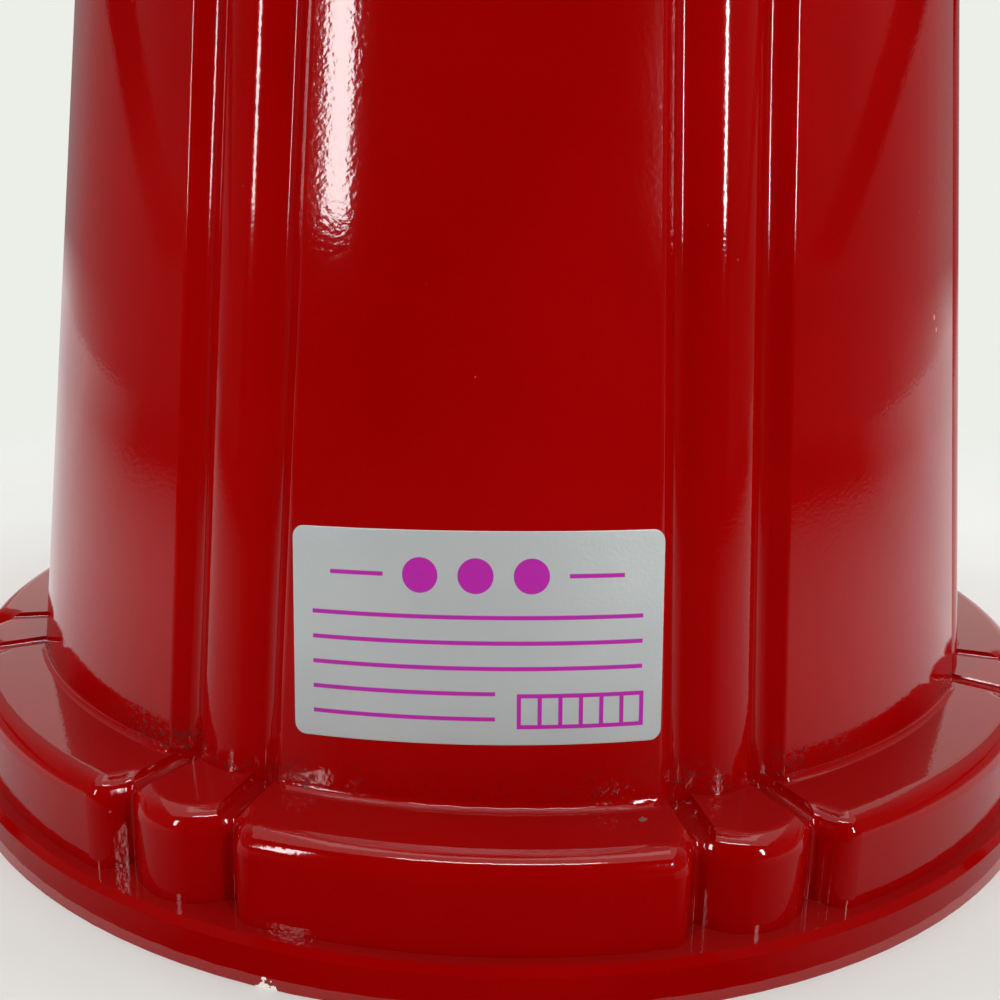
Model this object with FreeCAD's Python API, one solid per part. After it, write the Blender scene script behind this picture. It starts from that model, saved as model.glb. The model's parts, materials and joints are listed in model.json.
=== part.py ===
import FreeCAD, Part
import math
import os

# Gumball machine: die-cast eight-panel base, coin drive, dispensing wheel, glass globe and lid.
# Millimetres, +Z up. Origin at the middle of the foot's underside.
# The smooth back panel faces +Y. The coin plate, knob and chute door face -Y.

V = FreeCAD.Vector
ORIGIN = V(0, 0, 0)
X_AXIS = V(1, 0, 0)
Z_AXIS = V(0, 0, 1)

# Clearances
running_fit = 0.05
screw_fit = 0.05
loose_gap = 0.35
seat_gap = 0.3
thrust_gap = 0.05
overlap = 0.5
cut_past = 1.0
reach_out = 200.0
touch = 0.01

# Foot and plinth
foot_radius = 82.5
foot_height = 5.0
foot_edge = 0.7
plinth_radius = 80.6
plinth_height = 15.0
plinth_edge = 2.5

# Tapered body with one column between each pair of panels
column_count = 8
body_foot_radius = 71.0
body_foot_z = 16.5
body_top_radius = 58.9
body_top_z = 128.0
body_flare = 1.9
toe_sink = 0.03
casting_wall = 2.8
rib_groove_offset = 5.0
rib_groove_depth = 1.7
rib_groove_radius = 1.5
rib_flank_angle = 32.0
rib_lip_radius = 0.8
block_notch_offset = 6.8
block_notch_depth = 3.4
block_notch_radius = 0.6
block_lip_offset = 10.8
block_lip_radius = 2.7
top_groove_radius = 1.6
top_groove_depth = 1.1

# Rim and cup at the top of the casting
rim_radius = 62.5
rim_z = 140.0
rim_height = 8.0
rim_lip = 4.5
rim_low_round = 2.0
rim_top_round = 1.6
bead_reach = 1.35
bead_edge = 0.9
seat_z = 136.0
cup_wall = 3.5
cup_floor_z = 102.4
cup_floor_thickness = 3.5
cup_floor_hole_radius = 38.6
cup_radius = 46.8
shelf_width = 3.2

# Flat front of the casting
front_y = 70.5
front_half_width_low = 35.4
front_half_width_high = 31.0
front_top_z = 128.0
front_corner = 9.0
front_edge = 2.2
front_wall = 3.5
front_hollow_half_width = 26.5
front_hollow_low_z = 21.0
front_hollow_high_z = 121.0
front_hollow_gap = 1.2

# Bottom plate and tie rod
plate_recess_depth = 3.4
plate_recess_radius = 74.3
plate_thickness = 1.5
plate_dish_height = 7.1
plate_dish_radius = 20.0
plate_dish_slope = 6.0
rod_radius = 4.0
rod_low_z = 1.6
rod_top_margin = 4.5
washer_radius = 11.0
washer_thickness = 1.2
nut_across_flats = 13.0
nut_height = 5.6

# Hopper pan under the dispensing wheel
pan_thickness = 2.0
pan_step_radius = 39.2
pan_step_wall = 1.6
pan_deck_z = 111.4
pan_screw_radius = 1.6
pan_screw_count = 3
pan_screw_circle = 43.0
pan_screw_head_radius = 2.4
pan_screw_head_height = 1.4
pan_slot_gap = 1.2
pan_slot_tail = 2.0
pan_slot_roof = 0.1

# Dispensing wheel
wheel_radius = 45.8
wheel_thickness = 12.0
wheel_lift = 0.6
wheel_edge = 1.0
pocket_count = 6
pocket_radius = 10.2
pocket_circle = 26.5
pocket_chamfer = 0.8
bush_radius = 6.5
bush_flange_radius = 9.5
agitator_height = 14.0
agitator_hub_radius = 8.2
agitator_tip_radius = 6.0
agitator_reach = 13.2
agitator_fin_thickness = 2.4
agitator_fin_count = 3
agitator_fin_step = 2.1
agitator_round = 1.2

# Crown gear and pinion
pinion_teeth = 8
gear_teeth = 48
gear_mean_radius = 42.8
gear_face_width = 5.0
gear_pitch_z = 107.4
tooth_share = 0.40
tooth_addendum = 1.1
tooth_dedendum = 1.45
pressure_angle = 20.0
pinion_face_width = 4.8
tooth_end_gap = 0.1
flank_steps = 3

# Coin drive on the shaft
shaft_radius = 3.0
mech_plate_width = 50.0
mech_plate_height = 50.0
mech_plate_thickness = 2.0
mech_plate_corner = 5.0
mech_plate_edge = 0.7
coin_slot_length = 21.0
coin_slot_width = 3.0
coin_depth = 3.6
drum_radius = 17.0
drum_length = 19.5
housing_wall = 2.0
housing_back = 1.5
housing_flange_radius = 22.5
housing_flange_thickness = 1.5
housing_exit_half_width = 10.6
ratchet_radius = 11.0
ratchet_tooth_depth = 1.7
ratchet_teeth = 12
ratchet_thickness = 1.8
ratchet_face_share = 0.12
pawl_thickness = 0.5
pawl_length = 15.0
pawl_block = 2.6
pawl_block_length = 5.0
pawl_tip_rise = 2.0
clip_radius = 5.4
clip_thickness = 0.9
shaft_tail = 1.2
clip_mouth_half_width = 2.1
plate_screw_inset = 5.0
plate_screw_radius = 1.6
plate_screw_head_radius = 2.8
plate_screw_head_height = 1.8

# Turning handle
knob_gap = 0.6
knob_hub_radius = 10.5
knob_hub_length = 8.0
knob_wing_length = 15.0
knob_wing_foot_half_width = 10.0
knob_wing_tip_half_width = 18.5
knob_wing_thickness = 7.0
knob_wing_dip = 2.2
knob_wing_root = 3.0
knob_wing_neck = 1.5
knob_wing_round = 4.0
knob_dip_round = 25.0
knob_hub_round = 2.5
knob_bore_depth = 6.0
knob_edge = 1.6
knob_screw_radius = 2.0
knob_screw_sink = 0.8

# Ball chute, its frame and the hinged door
drop_angle = -35.0
chute_radius = 9.5
chute_wall = 1.5
chute_bend_radius = 16.0
chute_slope = 38.0
chute_mouth_z = 41.5
chute_run_out = 28.5
frame_width = 44.0
frame_height = 42.0
frame_thickness = 2.5
frame_corner = 4.0
frame_drop = 20.16
window_size = 27.0
window_corner = 1.0
tunnel_wall = 1.3
tunnel_depth = 7.5
hinge_rise = 2.6
hinge_gap = 0.2
pin_radius = 1.2
pin_head_radius = 1.92
pin_head_height = 0.8
knuckle_radius = 2.4
ear_thickness = 3.0
ear_radius = 3.3
door_thickness = 1.7
door_drop = 30.0
door_overlap = 0.7
door_lip = 4.5
door_lip_drop = 1.575
door_lip_round = 0.5
door_foot_round = 0.8
door_bend_rise = 2.04
door_bend_round = 2.0
frame_screw_radius = 1.6
frame_screw_head_radius = 2.6
frame_screw_head_height = 1.6

# Guard over the drop hole
guard_thickness = 1.2
guard_lift = 0.7
guard_inner_radius = 14.6
guard_half_angle = 24.0
guard_screw_radius = 0.8
guard_screw_head_radius = 1.3
guard_screw_head_height = 0.8
guard_screw_angle = 14.0
guard_screw_depth = 3.0

# Globe and lid
globe_radius = 76.0
globe_wall = 3.0
globe_foot_radius = 54.0
globe_neck_radius = 50.0
gasket_thickness = 1.6
gasket_width = 5.4
lid_gasket_thickness = 1.4
lid_skirt_radius = 60.5
lid_skirt_wall = 2.9
lid_skirt_drop = 5.2
lid_wall = 3.0
lid_height = 22.0
lid_lip_wall = 2.4
lid_hole_radius = 5.0
lid_crown_radius = 13.5
lid_crown_height = 2.4
lid_lip_gap = 0.8
lid_lip_rise = 1.0
lid_step_share = 0.32
lid_dome_share = 0.55
lid_dome_width_share = 0.80
lid_dome_round = 24.0
lid_crown_round = 10.0
lid_crown_run = 3.0
lid_edge = 0.9
lid_shoulder_edge = 1.8
lid_shoulder_rise = 0.8
lid_step_round = 2.6
lid_step_foot_round = 1.6
lid_gasket_outer_gap = 0.2
lid_gasket_inner_gap = 0.4
lid_knob_radius = 12.5
lid_knob_height = 12.6
lid_knob_bore_depth = 8.4
lid_insert_radius = 6.5
lid_knob_flutes = 10
lid_knob_flute_radius = 1.8
lid_knob_flute_depth = 0.9
lid_knob_flange = 2.4
lid_knob_neck = 3.6
lid_knob_waist_radius = 9.0
lid_knob_grip_radius = 11.25
lid_knob_grip_rise = 7.5
lid_knob_crown_radius = 7.75
lid_knob_edge = 0.9
lid_knob_waist_round = 1.4
lid_knob_grip_round = 3.0
lid_knob_crown_round = 4.0
lid_insert_sink = 0.2


# Shares used by the drawing helpers
half_side_share = 0.49
fillet_share = 0.9
screw_rim_share = 0.45
screw_flat_share = 0.7
tiny = 0.0005


def rounded_wire(corners, lift):
    """Closed wire through rounded corners (a, b, radius). The lift function maps (a, b) to a point."""
    points = [V(a, b, 0) for a, b, radius in corners]
    count = len(points)
    runs = []
    for index in range(count):
        here = points[index]
        before = points[index - 1] - here
        after = points[(index + 1) % count] - here
        radius = corners[index][2]
        half = before.getAngle(after) / 2
        longest = half_side_share * min(before.Length, after.Length)
        reach = min(radius / math.tan(half), longest)
        if reach < tiny:
            runs.append((here, here, here))
            continue
        inward = (before / before.Length + after / after.Length).normalize()
        held = reach * math.tan(half)
        middle = here + inward * (held / math.sin(half) - held)
        start = here + before / before.Length * reach
        end = here + after / after.Length * reach
        runs.append((start, middle, end))
    edges = []
    for index in range(count):
        start, middle, end = [lift(p.x, p.y) for p in runs[index]]
        if start.distanceToPoint(end) > tiny:
            edges.append(Part.Arc(start, middle, end).toShape())
        following = runs[(index + 1) % count][0]
        after = lift(following.x, following.y)
        if end.distanceToPoint(after) > tiny:
            edges.append(Part.makeLine(end, after))
    return Part.Wire(edges)


def turned(corners, angle=360):
    """Solid of revolution about Z from corners (radius, z, rounding)."""
    wire = rounded_wire(corners, lambda a, b: V(a, 0, b))
    return Part.Face(wire).revolve(ORIGIN, Z_AXIS, angle)


def prism(corners, low, high):
    """Upright prism with rounded corners (x, y, rounding) between two heights."""
    wire = rounded_wire(corners, lambda a, b: V(a, b, low))
    return Part.Face(wire).extrude(V(0, 0, high - low))


def sharp(points):
    """Give each point of an outline a rounding of zero."""
    return [(a, b, 0) for a, b in points]


def box_corners(half_x, half_y, rounding, centre_y=0.0):
    """Corners of a rectangle, all with one rounding."""
    signs = [(-1, -1), (1, -1), (1, 1), (-1, 1)]
    return [(i * half_x, centre_y + j * half_y, rounding) for i, j in signs]


def tube(outer, inner, low, high):
    """Ring with a rectangular section."""
    return turned(sharp([(inner, low), (outer, low), (outer, high), (inner, high)]))


def rod(radius, low, high):
    """Plain upright cylinder on the axis."""
    return Part.makeCylinder(radius, high - low, V(0, 0, low))


def block(x0, x1, y0, y1, z0, z1):
    """Box between two opposite corners."""
    return Part.makeBox(x1 - x0, y1 - y0, z1 - z0, V(x0, y0, z0))


def polar(radius, degrees, z=0.0):
    """Point at a radius and an angle from +X."""
    angle = math.radians(degrees)
    return V(radius * math.cos(angle), radius * math.sin(angle), z)


def forward(shape, height):
    """Lay a shape built along +Z so that its +Z points to the front, -Y, and its +Y points up."""
    laid = shape.copy()
    laid.rotate(ORIGIN, X_AXIS, 90)
    laid.translate(V(0, 0, height))
    return laid


def spun(shape, degrees):
    """Copy of a shape turned about Z."""
    turned_copy = shape.copy()
    turned_copy.rotate(ORIGIN, Z_AXIS, degrees)
    return turned_copy


def moved(shape, x, y, z=0.0):
    """Copy of a shape shifted sideways."""
    moved_copy = shape.copy()
    moved_copy.translate(V(x, y, z))
    return moved_copy


def screw(head_radius, head_height, shank_radius, shank_length):
    """Pan-head screw: the head stands on z = 0 and the shank goes down."""
    return turned(sharp([
        (0, -shank_length),
        (shank_radius, -shank_length),
        (shank_radius, 0),
        (head_radius, 0),
        (head_radius, screw_rim_share * head_height),
        (screw_flat_share * head_radius, head_height),
        (0, head_height),
    ]))


# Places worked out from the sizes above
body_taper = (body_foot_radius - body_top_radius) / (body_top_z - body_foot_z)
cup_outer_radius = cup_radius + cup_wall
shelf_radius = cup_radius + shelf_width
cup_floor_low_z = cup_floor_z - cup_floor_thickness
wheel_low_z = pan_deck_z + wheel_lift
wheel_high_z = wheel_low_z + wheel_thickness
guard_z = wheel_high_z + guard_lift
pinion_radius = gear_mean_radius * pinion_teeth / gear_teeth
shaft_z = gear_pitch_z - pinion_radius
pan_flange_z = cup_floor_z + pan_thickness
plate_front_y = front_y + mech_plate_thickness
drum_front_y = front_y - seat_gap
drum_back_y = drum_front_y - drum_length
housing_front_y = drum_back_y - seat_gap
housing_rear_y = housing_front_y - housing_back
ratchet_front_y = housing_rear_y - loose_gap
ratchet_back_y = ratchet_front_y - ratchet_thickness
pinion_front_y = gear_mean_radius + pinion_face_width / 2
pinion_back_y = gear_mean_radius - pinion_face_width / 2
clip_back_y = pinion_back_y - clip_thickness
shaft_back_y = clip_back_y - shaft_tail
housing_inner_radius = drum_radius + loose_gap
housing_outer_radius = housing_inner_radius + housing_wall
bay_radius = housing_outer_radius + seat_gap
knob_back_y = plate_front_y + knob_gap
knob_wing_y = knob_back_y + knob_hub_length
knob_front_y = knob_wing_y + knob_wing_length
frame_front_y = front_y + frame_thickness
tunnel_back_y = front_y - tunnel_depth
frame_low_z = chute_mouth_z - frame_drop
frame_high_z = frame_low_z + frame_height
hinge_z = chute_mouth_z + window_size / 2 + hinge_rise
hinge_y = frame_front_y + knuckle_radius + hinge_gap
drop_point = polar(pocket_circle, drop_angle)
globe_low_z = seat_z + gasket_thickness
globe_centre_z = globe_low_z + math.sqrt(globe_radius ** 2 - globe_foot_radius ** 2)
globe_high_z = globe_centre_z + math.sqrt(globe_radius ** 2 - globe_neck_radius ** 2)
globe_inner_radius = globe_radius - globe_wall
globe_mouth_radius = math.sqrt(globe_inner_radius ** 2 - (globe_high_z - globe_centre_z) ** 2)
lid_low_z = globe_high_z + lid_gasket_thickness
lid_high_z = lid_low_z + lid_height
lid_knob_low_z = lid_high_z + thrust_gap
lid_knob_high_z = lid_knob_low_z + lid_knob_height
rod_high_z = lid_knob_high_z - rod_top_margin
dish_low_z = plate_recess_depth - plate_thickness + plate_dish_height
plate_low_z = plate_recess_depth - plate_thickness
front_screw_length = front_wall + mech_plate_thickness


def body_radius(z):
    """Outer radius of the tapered body's panels at a height."""
    return body_foot_radius - body_taper * (z - body_foot_z)


def inner_radius(z):
    """Radius of the casting's hollow at a height."""
    return body_radius(z) - rib_groove_depth - casting_wall


def column_points(radius):
    """Points of half a plinth block, as (sideways, outwards), from its crest to the panel.

    A convex block meets a narrow notch, then a straight flank and a convex lip meet the round panel.
    Every join is tangent. Returns the points in order, with the middle point of each arc.
    """
    notch_radius = block_notch_radius
    lip = min(block_lip_radius, fillet_share * (block_lip_offset - block_notch_offset) - notch_radius)
    lip_angle = math.asin(block_lip_offset / radius)
    lip_centre = V(math.sin(lip_angle), math.cos(lip_angle), 0) * (radius - lip)
    notch_centre = V(block_notch_offset, radius - block_notch_depth + notch_radius, 0)
    across = lip_centre - notch_centre
    heading = math.atan2(across.y, across.x) + math.acos(-(lip + notch_radius) / across.Length)
    normal = V(math.cos(heading), math.sin(heading), 0)
    crest_radius = rib_radius(block_notch_offset, block_notch_depth, notch_radius)
    crest_centre = V(0, radius - crest_radius, 0)
    crest_end = notch_centre + (crest_centre - notch_centre).normalize() * notch_radius
    flank_low = notch_centre - normal * notch_radius
    flank_high = lip_centre + normal * lip
    panel_end = V(math.sin(lip_angle), math.cos(lip_angle), 0) * radius
    to_low = flank_low - notch_centre
    to_crest = crest_end - notch_centre
    notch_middle = notch_centre + (to_low + to_crest).normalize() * notch_radius
    lip_middle = lip_centre + (flank_high + panel_end - lip_centre * 2).normalize() * lip
    return [V(0, radius, 0), crest_end, notch_middle, flank_low, flank_high, lip_middle, panel_end]


def plinth_wire(radius, z):
    """Closed outline at one height: smooth round panels with a half-round block between each pair."""
    half = column_points(radius)
    step = 360.0 / column_count
    edges = []
    for index in range(column_count):
        turn = (index + 0.5) * step

        def place(point, side):
            """Set a column point at its angle round the axis."""
            flat = V(side * point.x, point.y, 0)
            return FreeCAD.Rotation(Z_AXIS, turn).multVec(flat) + V(0, 0, z)

        right = [place(p, 1) for p in half]
        left = [place(p, -1) for p in half]
        edges.append(Part.Arc(right[6], right[5], right[4]).toShape())
        edges.append(Part.makeLine(right[4], right[3]))
        edges.append(Part.Arc(right[3], right[2], right[1]).toShape())
        edges.append(Part.Arc(right[1], right[0], left[1]).toShape())
        edges.append(Part.Arc(left[1], left[2], left[3]).toShape())
        edges.append(Part.makeLine(left[3], left[4]))
        edges.append(Part.Arc(left[4], left[5], left[6]).toShape())
        middle = polar(radius, 90 + turn + step / 2, z)
        spin = FreeCAD.Rotation(Z_AXIS, step)
        edges.append(Part.Arc(left[6], middle, spin.multVec(right[6])).toShape())
    return Part.Wire(edges)


def rib_radius(groove_offset, groove_depth, groove_radius):
    """Radius of a column's convex rib, tangent to the groove on each side of it."""
    drop = groove_radius - groove_depth
    return (groove_offset ** 2 + drop ** 2 - groove_radius ** 2) / (2 * groove_depth)


def rib_cutter():
    """Bar that leaves one ribbed column when it is cut from the body, laid along the taper on +Y.

    Its underside is a convex rib between two concave grooves, with a straight flank out to each panel.
    """
    low_z = foot_height - overlap
    radius = body_radius(low_z)
    rib = rib_radius(rib_groove_offset, rib_groove_depth, rib_groove_radius)
    flank = math.radians(rib_flank_angle)
    groove = V(rib_groove_offset, radius - rib_groove_depth + rib_groove_radius, low_z)
    rib_end = groove + (V(0, radius - rib, low_z) - groove).normalize() * rib_groove_radius
    flank_low = groove + V(math.sin(flank), -math.cos(flank), 0) * rib_groove_radius
    flank_length = (body_flare + plinth_edge) / math.sin(flank)
    flank_high = flank_low + V(math.cos(flank), math.sin(flank), 0) * flank_length
    middle = (flank_low + rib_end - groove * 2).normalize()
    bottom = groove + middle * rib_groove_radius

    def across(point):
        """The same point on the column's other side."""
        return V(-point.x, point.y, point.z)

    wire = Part.Wire([
        Part.makeLine(flank_high, flank_low),
        Part.Arc(flank_low, bottom, rib_end).toShape(),
        Part.Arc(rib_end, V(0, radius, low_z), across(rib_end)).toShape(),
        Part.Arc(across(rib_end), across(bottom), across(flank_low)).toShape(),
        Part.makeLine(across(flank_low), across(flank_high)),
        Part.makeLine(across(flank_high), flank_high),
    ])
    height = body_top_z + 2 * overlap - low_z
    return Part.Face(wire).extrude(V(0, -body_taper * height, height))


def ribbed_body():
    """Tapered body with a small flare at its foot and a column between each pair of panels."""
    toe = body_foot_radius + body_flare
    toe_z = plinth_height - toe_sink
    high_z = body_top_z + overlap
    body = turned([
        (0, foot_height, 0),
        (toe, foot_height, 0),
        (toe, toe_z, 0),
        (body_radius(toe_z), toe_z, body_flare),
        (body_radius(high_z), high_z, 0),
        (0, high_z, 0),
    ])
    step = 360.0 / column_count
    ribbed = body.cut([spun(rib_cutter(), (index + 0.5) * step) for index in range(column_count)])
    return ribbed.makeFillet(rib_lip_radius, [e for e in ribbed.Edges if is_rib_lip(e)])


def is_rib_lip(edge):
    """Whether an edge of the body is the long line where a column's flank meets a panel."""
    if edge.BoundBox.ZLength < (body_top_z - body_foot_z) / 2:
        return False
    middle = edge.valueAt((edge.FirstParameter + edge.LastParameter) / 2)
    step = 360.0 / column_count
    turn = (math.degrees(math.atan2(middle.y, middle.x)) - 90 - step / 2) % step
    sideways = math.radians(min(turn, step - turn)) * math.hypot(middle.x, middle.y)
    on_panel = math.hypot(middle.x, middle.y) > body_radius(middle.z) - rib_groove_depth / 4
    return on_panel and rib_groove_offset < sideways < 2 * rib_groove_offset


def top_groove_cutters():
    """Round-bottomed grooves over the plinth, from each notch to the body."""
    cutters = []
    axis_z = plinth_height + top_groove_radius - top_groove_depth
    inner = V(rib_groove_offset, body_foot_radius - rib_groove_depth, axis_z)
    outer = V(block_notch_offset, plinth_radius + overlap, axis_z)
    for index in range(column_count):
        turn = (index + 0.5) * 360.0 / column_count
        for side in (-1, 1):
            start = V(side * inner.x, inner.y, inner.z)
            run = V(side * outer.x, outer.y, outer.z) - start
            cutter = Part.makeCylinder(top_groove_radius, run.Length, start, run)
            cutters.append(spun(cutter, turn))
    return cutters


def base_shell():
    """Outside of the casting as one solid: foot, plinth, body, rim and flat front."""
    foot = turned([
        (0, 0, 0),
        (foot_radius, 0, 0),
        (foot_radius, foot_height - foot_edge, 0),
        (foot_radius - foot_edge, foot_height, 0),
        (0, foot_height, 0),
    ])
    low_z = foot_height - overlap
    plinth = Part.Face(plinth_wire(plinth_radius, low_z)).extrude(V(0, 0, plinth_height - low_z))
    top_edges = [e for e in plinth.Edges if e.BoundBox.ZMin > plinth_height - touch]
    round_limit = fillet_share * min(block_lip_radius, plinth_height - foot_height)
    plinth = plinth.makeFillet(min(plinth_edge, round_limit), top_edges).cut(top_groove_cutters())
    rim = turned([
        (0, body_top_z - 2 * rim_lip, 0),
        (body_top_radius - rib_groove_depth, body_top_z - 2 * rim_lip, 0),
        (body_top_radius - rib_groove_depth, body_top_z - rim_lip, 0),
        (body_top_radius + bead_reach, body_top_z - rim_lip, 0),
        (body_top_radius + bead_reach, body_top_z - bead_edge, 0),
        (body_top_radius - bead_edge, body_top_z + bead_edge / 2, 0),
        (rim_radius, rim_z - rim_height, rim_low_round),
        (rim_radius, rim_z, rim_top_round),
        (0, rim_z, 0),
    ])
    front = forward(prism([
        (-front_half_width_low, foot_height, 0),
        (front_half_width_low, foot_height, 0),
        (front_half_width_high, front_top_z, front_corner),
        (-front_half_width_high, front_top_z, front_corner),
    ], body_foot_radius / 2, front_y), 0)
    face_edges = [e for e in front.Edges if e.BoundBox.YMax < -front_y + touch]
    front = front.makeFillet(front_edge, [e for e in face_edges if e.BoundBox.ZMax > foot_height + touch])
    return foot.fuse([plinth, ribbed_body(), rim, front])


def base_casting():
    """Cast base: the shell with its hollow, globe cup, mechanism bay, chute window and screw holes."""
    hollow_top_z = seat_z - cup_wall
    hollow = turned(sharp([
        (0, plate_recess_depth - overlap),
        (inner_radius(body_foot_z), plate_recess_depth - overlap),
        (inner_radius(body_foot_z), body_foot_z),
        (inner_radius(hollow_top_z), hollow_top_z),
        (shelf_radius + cup_wall / 2, hollow_top_z),
        (shelf_radius + cup_wall / 2, guard_z - cup_wall),
        (cup_outer_radius, guard_z - cup_wall),
        (cup_outer_radius, cup_floor_low_z),
        (0, cup_floor_low_z),
    ]))
    cup = turned(sharp([
        (0, cup_floor_low_z - overlap),
        (cup_floor_hole_radius, cup_floor_low_z - overlap),
        (cup_floor_hole_radius, cup_floor_z),
        (cup_radius, cup_floor_z),
        (cup_radius, guard_z),
        (shelf_radius, guard_z),
        (shelf_radius, seat_z),
        (rim_radius - rim_lip, seat_z),
        (rim_radius - rim_lip, rim_z + overlap),
        (0, rim_z + overlap),
    ]))
    recess = rod(plate_recess_radius, -overlap, plate_recess_depth)
    front_hollow = block(-front_hollow_half_width, front_hollow_half_width, front_wall - front_y,
                         -cup_outer_radius - front_hollow_gap, front_hollow_low_z, front_hollow_high_z)
    bay = forward(rod(bay_radius, shaft_back_y, front_y + overlap), shaft_z)
    step_radius = housing_flange_radius + seat_gap
    step = forward(rod(step_radius, front_y - housing_flange_thickness, front_y + cut_past), shaft_z)
    half_window = window_size / 2 + tunnel_wall + seat_gap / 2
    window = prism(box_corners(half_window, half_window, 0), tunnel_back_y, front_y + overlap)
    window = forward(window, chute_mouth_z)
    cuts = [hollow, cup, recess, front_hollow, bay, step, window]
    hole = rod(plate_screw_radius + screw_fit, front_y - reach_out / 10, front_y + overlap)
    for x, z in mech_screw_places():
        cuts.append(forward(moved(hole, x, 0), z))
    for x, z in frame_screw_places():
        cuts.append(forward(moved(hole, x, 0), z))
    hole = rod(pan_screw_radius + screw_fit, cup_floor_low_z - cut_past, cup_floor_z + cut_past)
    for place in pan_screw_places():
        cuts.append(moved(hole, place.x, place.y))
    hole_low = guard_z - guard_screw_depth - seat_gap
    hole = rod(guard_screw_radius + screw_fit, hole_low, guard_z + cut_past)
    for place in guard_screw_places():
        cuts.append(moved(hole, place.x, place.y))
    return base_shell().cut(cuts)


def mech_screw_places():
    """Corners of the coin plate where its screws go, as (x, z)."""
    half_x = mech_plate_width / 2 - plate_screw_inset
    half_z = mech_plate_height / 2 - plate_screw_inset
    return [(i * half_x, shaft_z + j * half_z) for i in (-1, 1) for j in (-1, 1)]


def frame_screw_places():
    """Middles of the chute frame's side bars, as (x, z)."""
    x = (frame_width + window_size) / 4
    return [(-x, chute_mouth_z), (x, chute_mouth_z)]


def pan_screw_places():
    """Points on the pan's flange, spaced so that none falls at the front."""
    return [polar(pan_screw_circle, 90 + 360.0 / pan_screw_count * i) for i in range(pan_screw_count)]


def guard_screw_places():
    """Two points on the cup's shelf under the ball guard."""
    radius = (cup_radius + shelf_radius) / 2
    return [polar(radius, drop_angle + side * guard_screw_angle) for side in (-1, 1)]


def bottom_plate():
    """Pressed plate under the hollow, dished up in the middle to take the nut."""
    outer = plate_recess_radius - seat_gap
    slope = plate_dish_radius + plate_dish_slope
    return turned(sharp([
        (rod_radius + seat_gap, dish_low_z),
        (plate_dish_radius, dish_low_z),
        (slope, plate_low_z),
        (outer, plate_low_z),
        (outer, plate_recess_depth),
        (slope + plate_thickness / 2, plate_recess_depth),
        (plate_dish_radius + plate_thickness / 2, dish_low_z + plate_thickness),
        (rod_radius + seat_gap, dish_low_z + plate_thickness),
    ]))


def rod_washer():
    """Flat washer under the dished plate."""
    return tube(washer_radius, rod_radius + seat_gap, dish_low_z - washer_thickness, dish_low_z)


def rod_nut():
    """Hexagon nut on the lower end of the tie rod."""
    high = dish_low_z - washer_thickness
    corner = nut_across_flats / math.sqrt(3)
    hexagon = [polar(corner, 60 * i) for i in range(6)]
    body = prism([(p.x, p.y, 0) for p in hexagon], high - nut_height, high)
    return body.cut(rod(rod_radius, high - nut_height - cut_past, high + cut_past))


def tie_rod():
    """Centre rod that clamps the plate, casting, globe and lid together."""
    return rod(rod_radius, rod_low_z, rod_high_z)


def hopper_pan():
    """Stepped pan: a raised deck for the wheel inside a low flange that clears the crown gear."""
    bore = rod_radius + seat_gap
    under = pan_deck_z - pan_thickness
    inner = pan_step_radius - pan_step_wall
    outer = cup_radius - seat_gap
    pan = turned(sharp([
        (bore, under),
        (inner, under),
        (inner, cup_floor_z),
        (outer, cup_floor_z),
        (outer, pan_flange_z),
        (pan_step_radius, pan_flange_z),
        (pan_step_radius, pan_deck_z),
        (bore, pan_deck_z),
    ]))
    drop = rod(chute_radius + chute_wall + screw_fit, under - cut_past, pan_deck_z + cut_past)
    drop = moved(drop, drop_point.x, drop_point.y)
    half_slot = pinion_radius + tooth_addendum + pan_slot_gap
    slot_back = pan_slot_tail - shaft_back_y
    slot = block(-half_slot, half_slot, -reach_out, slot_back, 0, under - pan_slot_roof)
    cuts = [drop, slot]
    hole = rod(pan_screw_radius + screw_fit, cup_floor_z - cut_past, pan_flange_z + cut_past)
    for place in pan_screw_places():
        cuts.append(moved(hole, place.x, place.y))
    return pan.cut(cuts)


def pan_screws():
    """Screws that hold the pan's flange to the cup floor."""
    length = pan_thickness + cup_floor_thickness
    one = screw(pan_screw_head_radius, pan_screw_head_height, pan_screw_radius, length)
    return Part.makeCompound([moved(one, p.x, p.y, pan_flange_z) for p in pan_screw_places()])


def ball_guard():
    """Sector plate over the drop hole that keeps the load above off the pocket below it."""
    outer = shelf_radius - seat_gap
    high = guard_z + guard_thickness
    inner = guard_inner_radius
    corners = sharp([(inner, guard_z), (outer, guard_z), (outer, high), (inner, high)])
    plate = spun(turned(corners, 2 * guard_half_angle), drop_angle - guard_half_angle)
    hole = rod(guard_screw_radius + screw_fit, guard_z - cut_past, high + cut_past)
    return plate.cut([moved(hole, p.x, p.y) for p in guard_screw_places()])


def guard_screws():
    """Small screws that hold the guard to the cup's shelf."""
    length = guard_thickness + guard_screw_depth
    one = screw(guard_screw_head_radius, guard_screw_head_height, guard_screw_radius, length)
    top = guard_z + guard_thickness
    return Part.makeCompound([moved(one, p.x, p.y, top) for p in guard_screw_places()])


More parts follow.
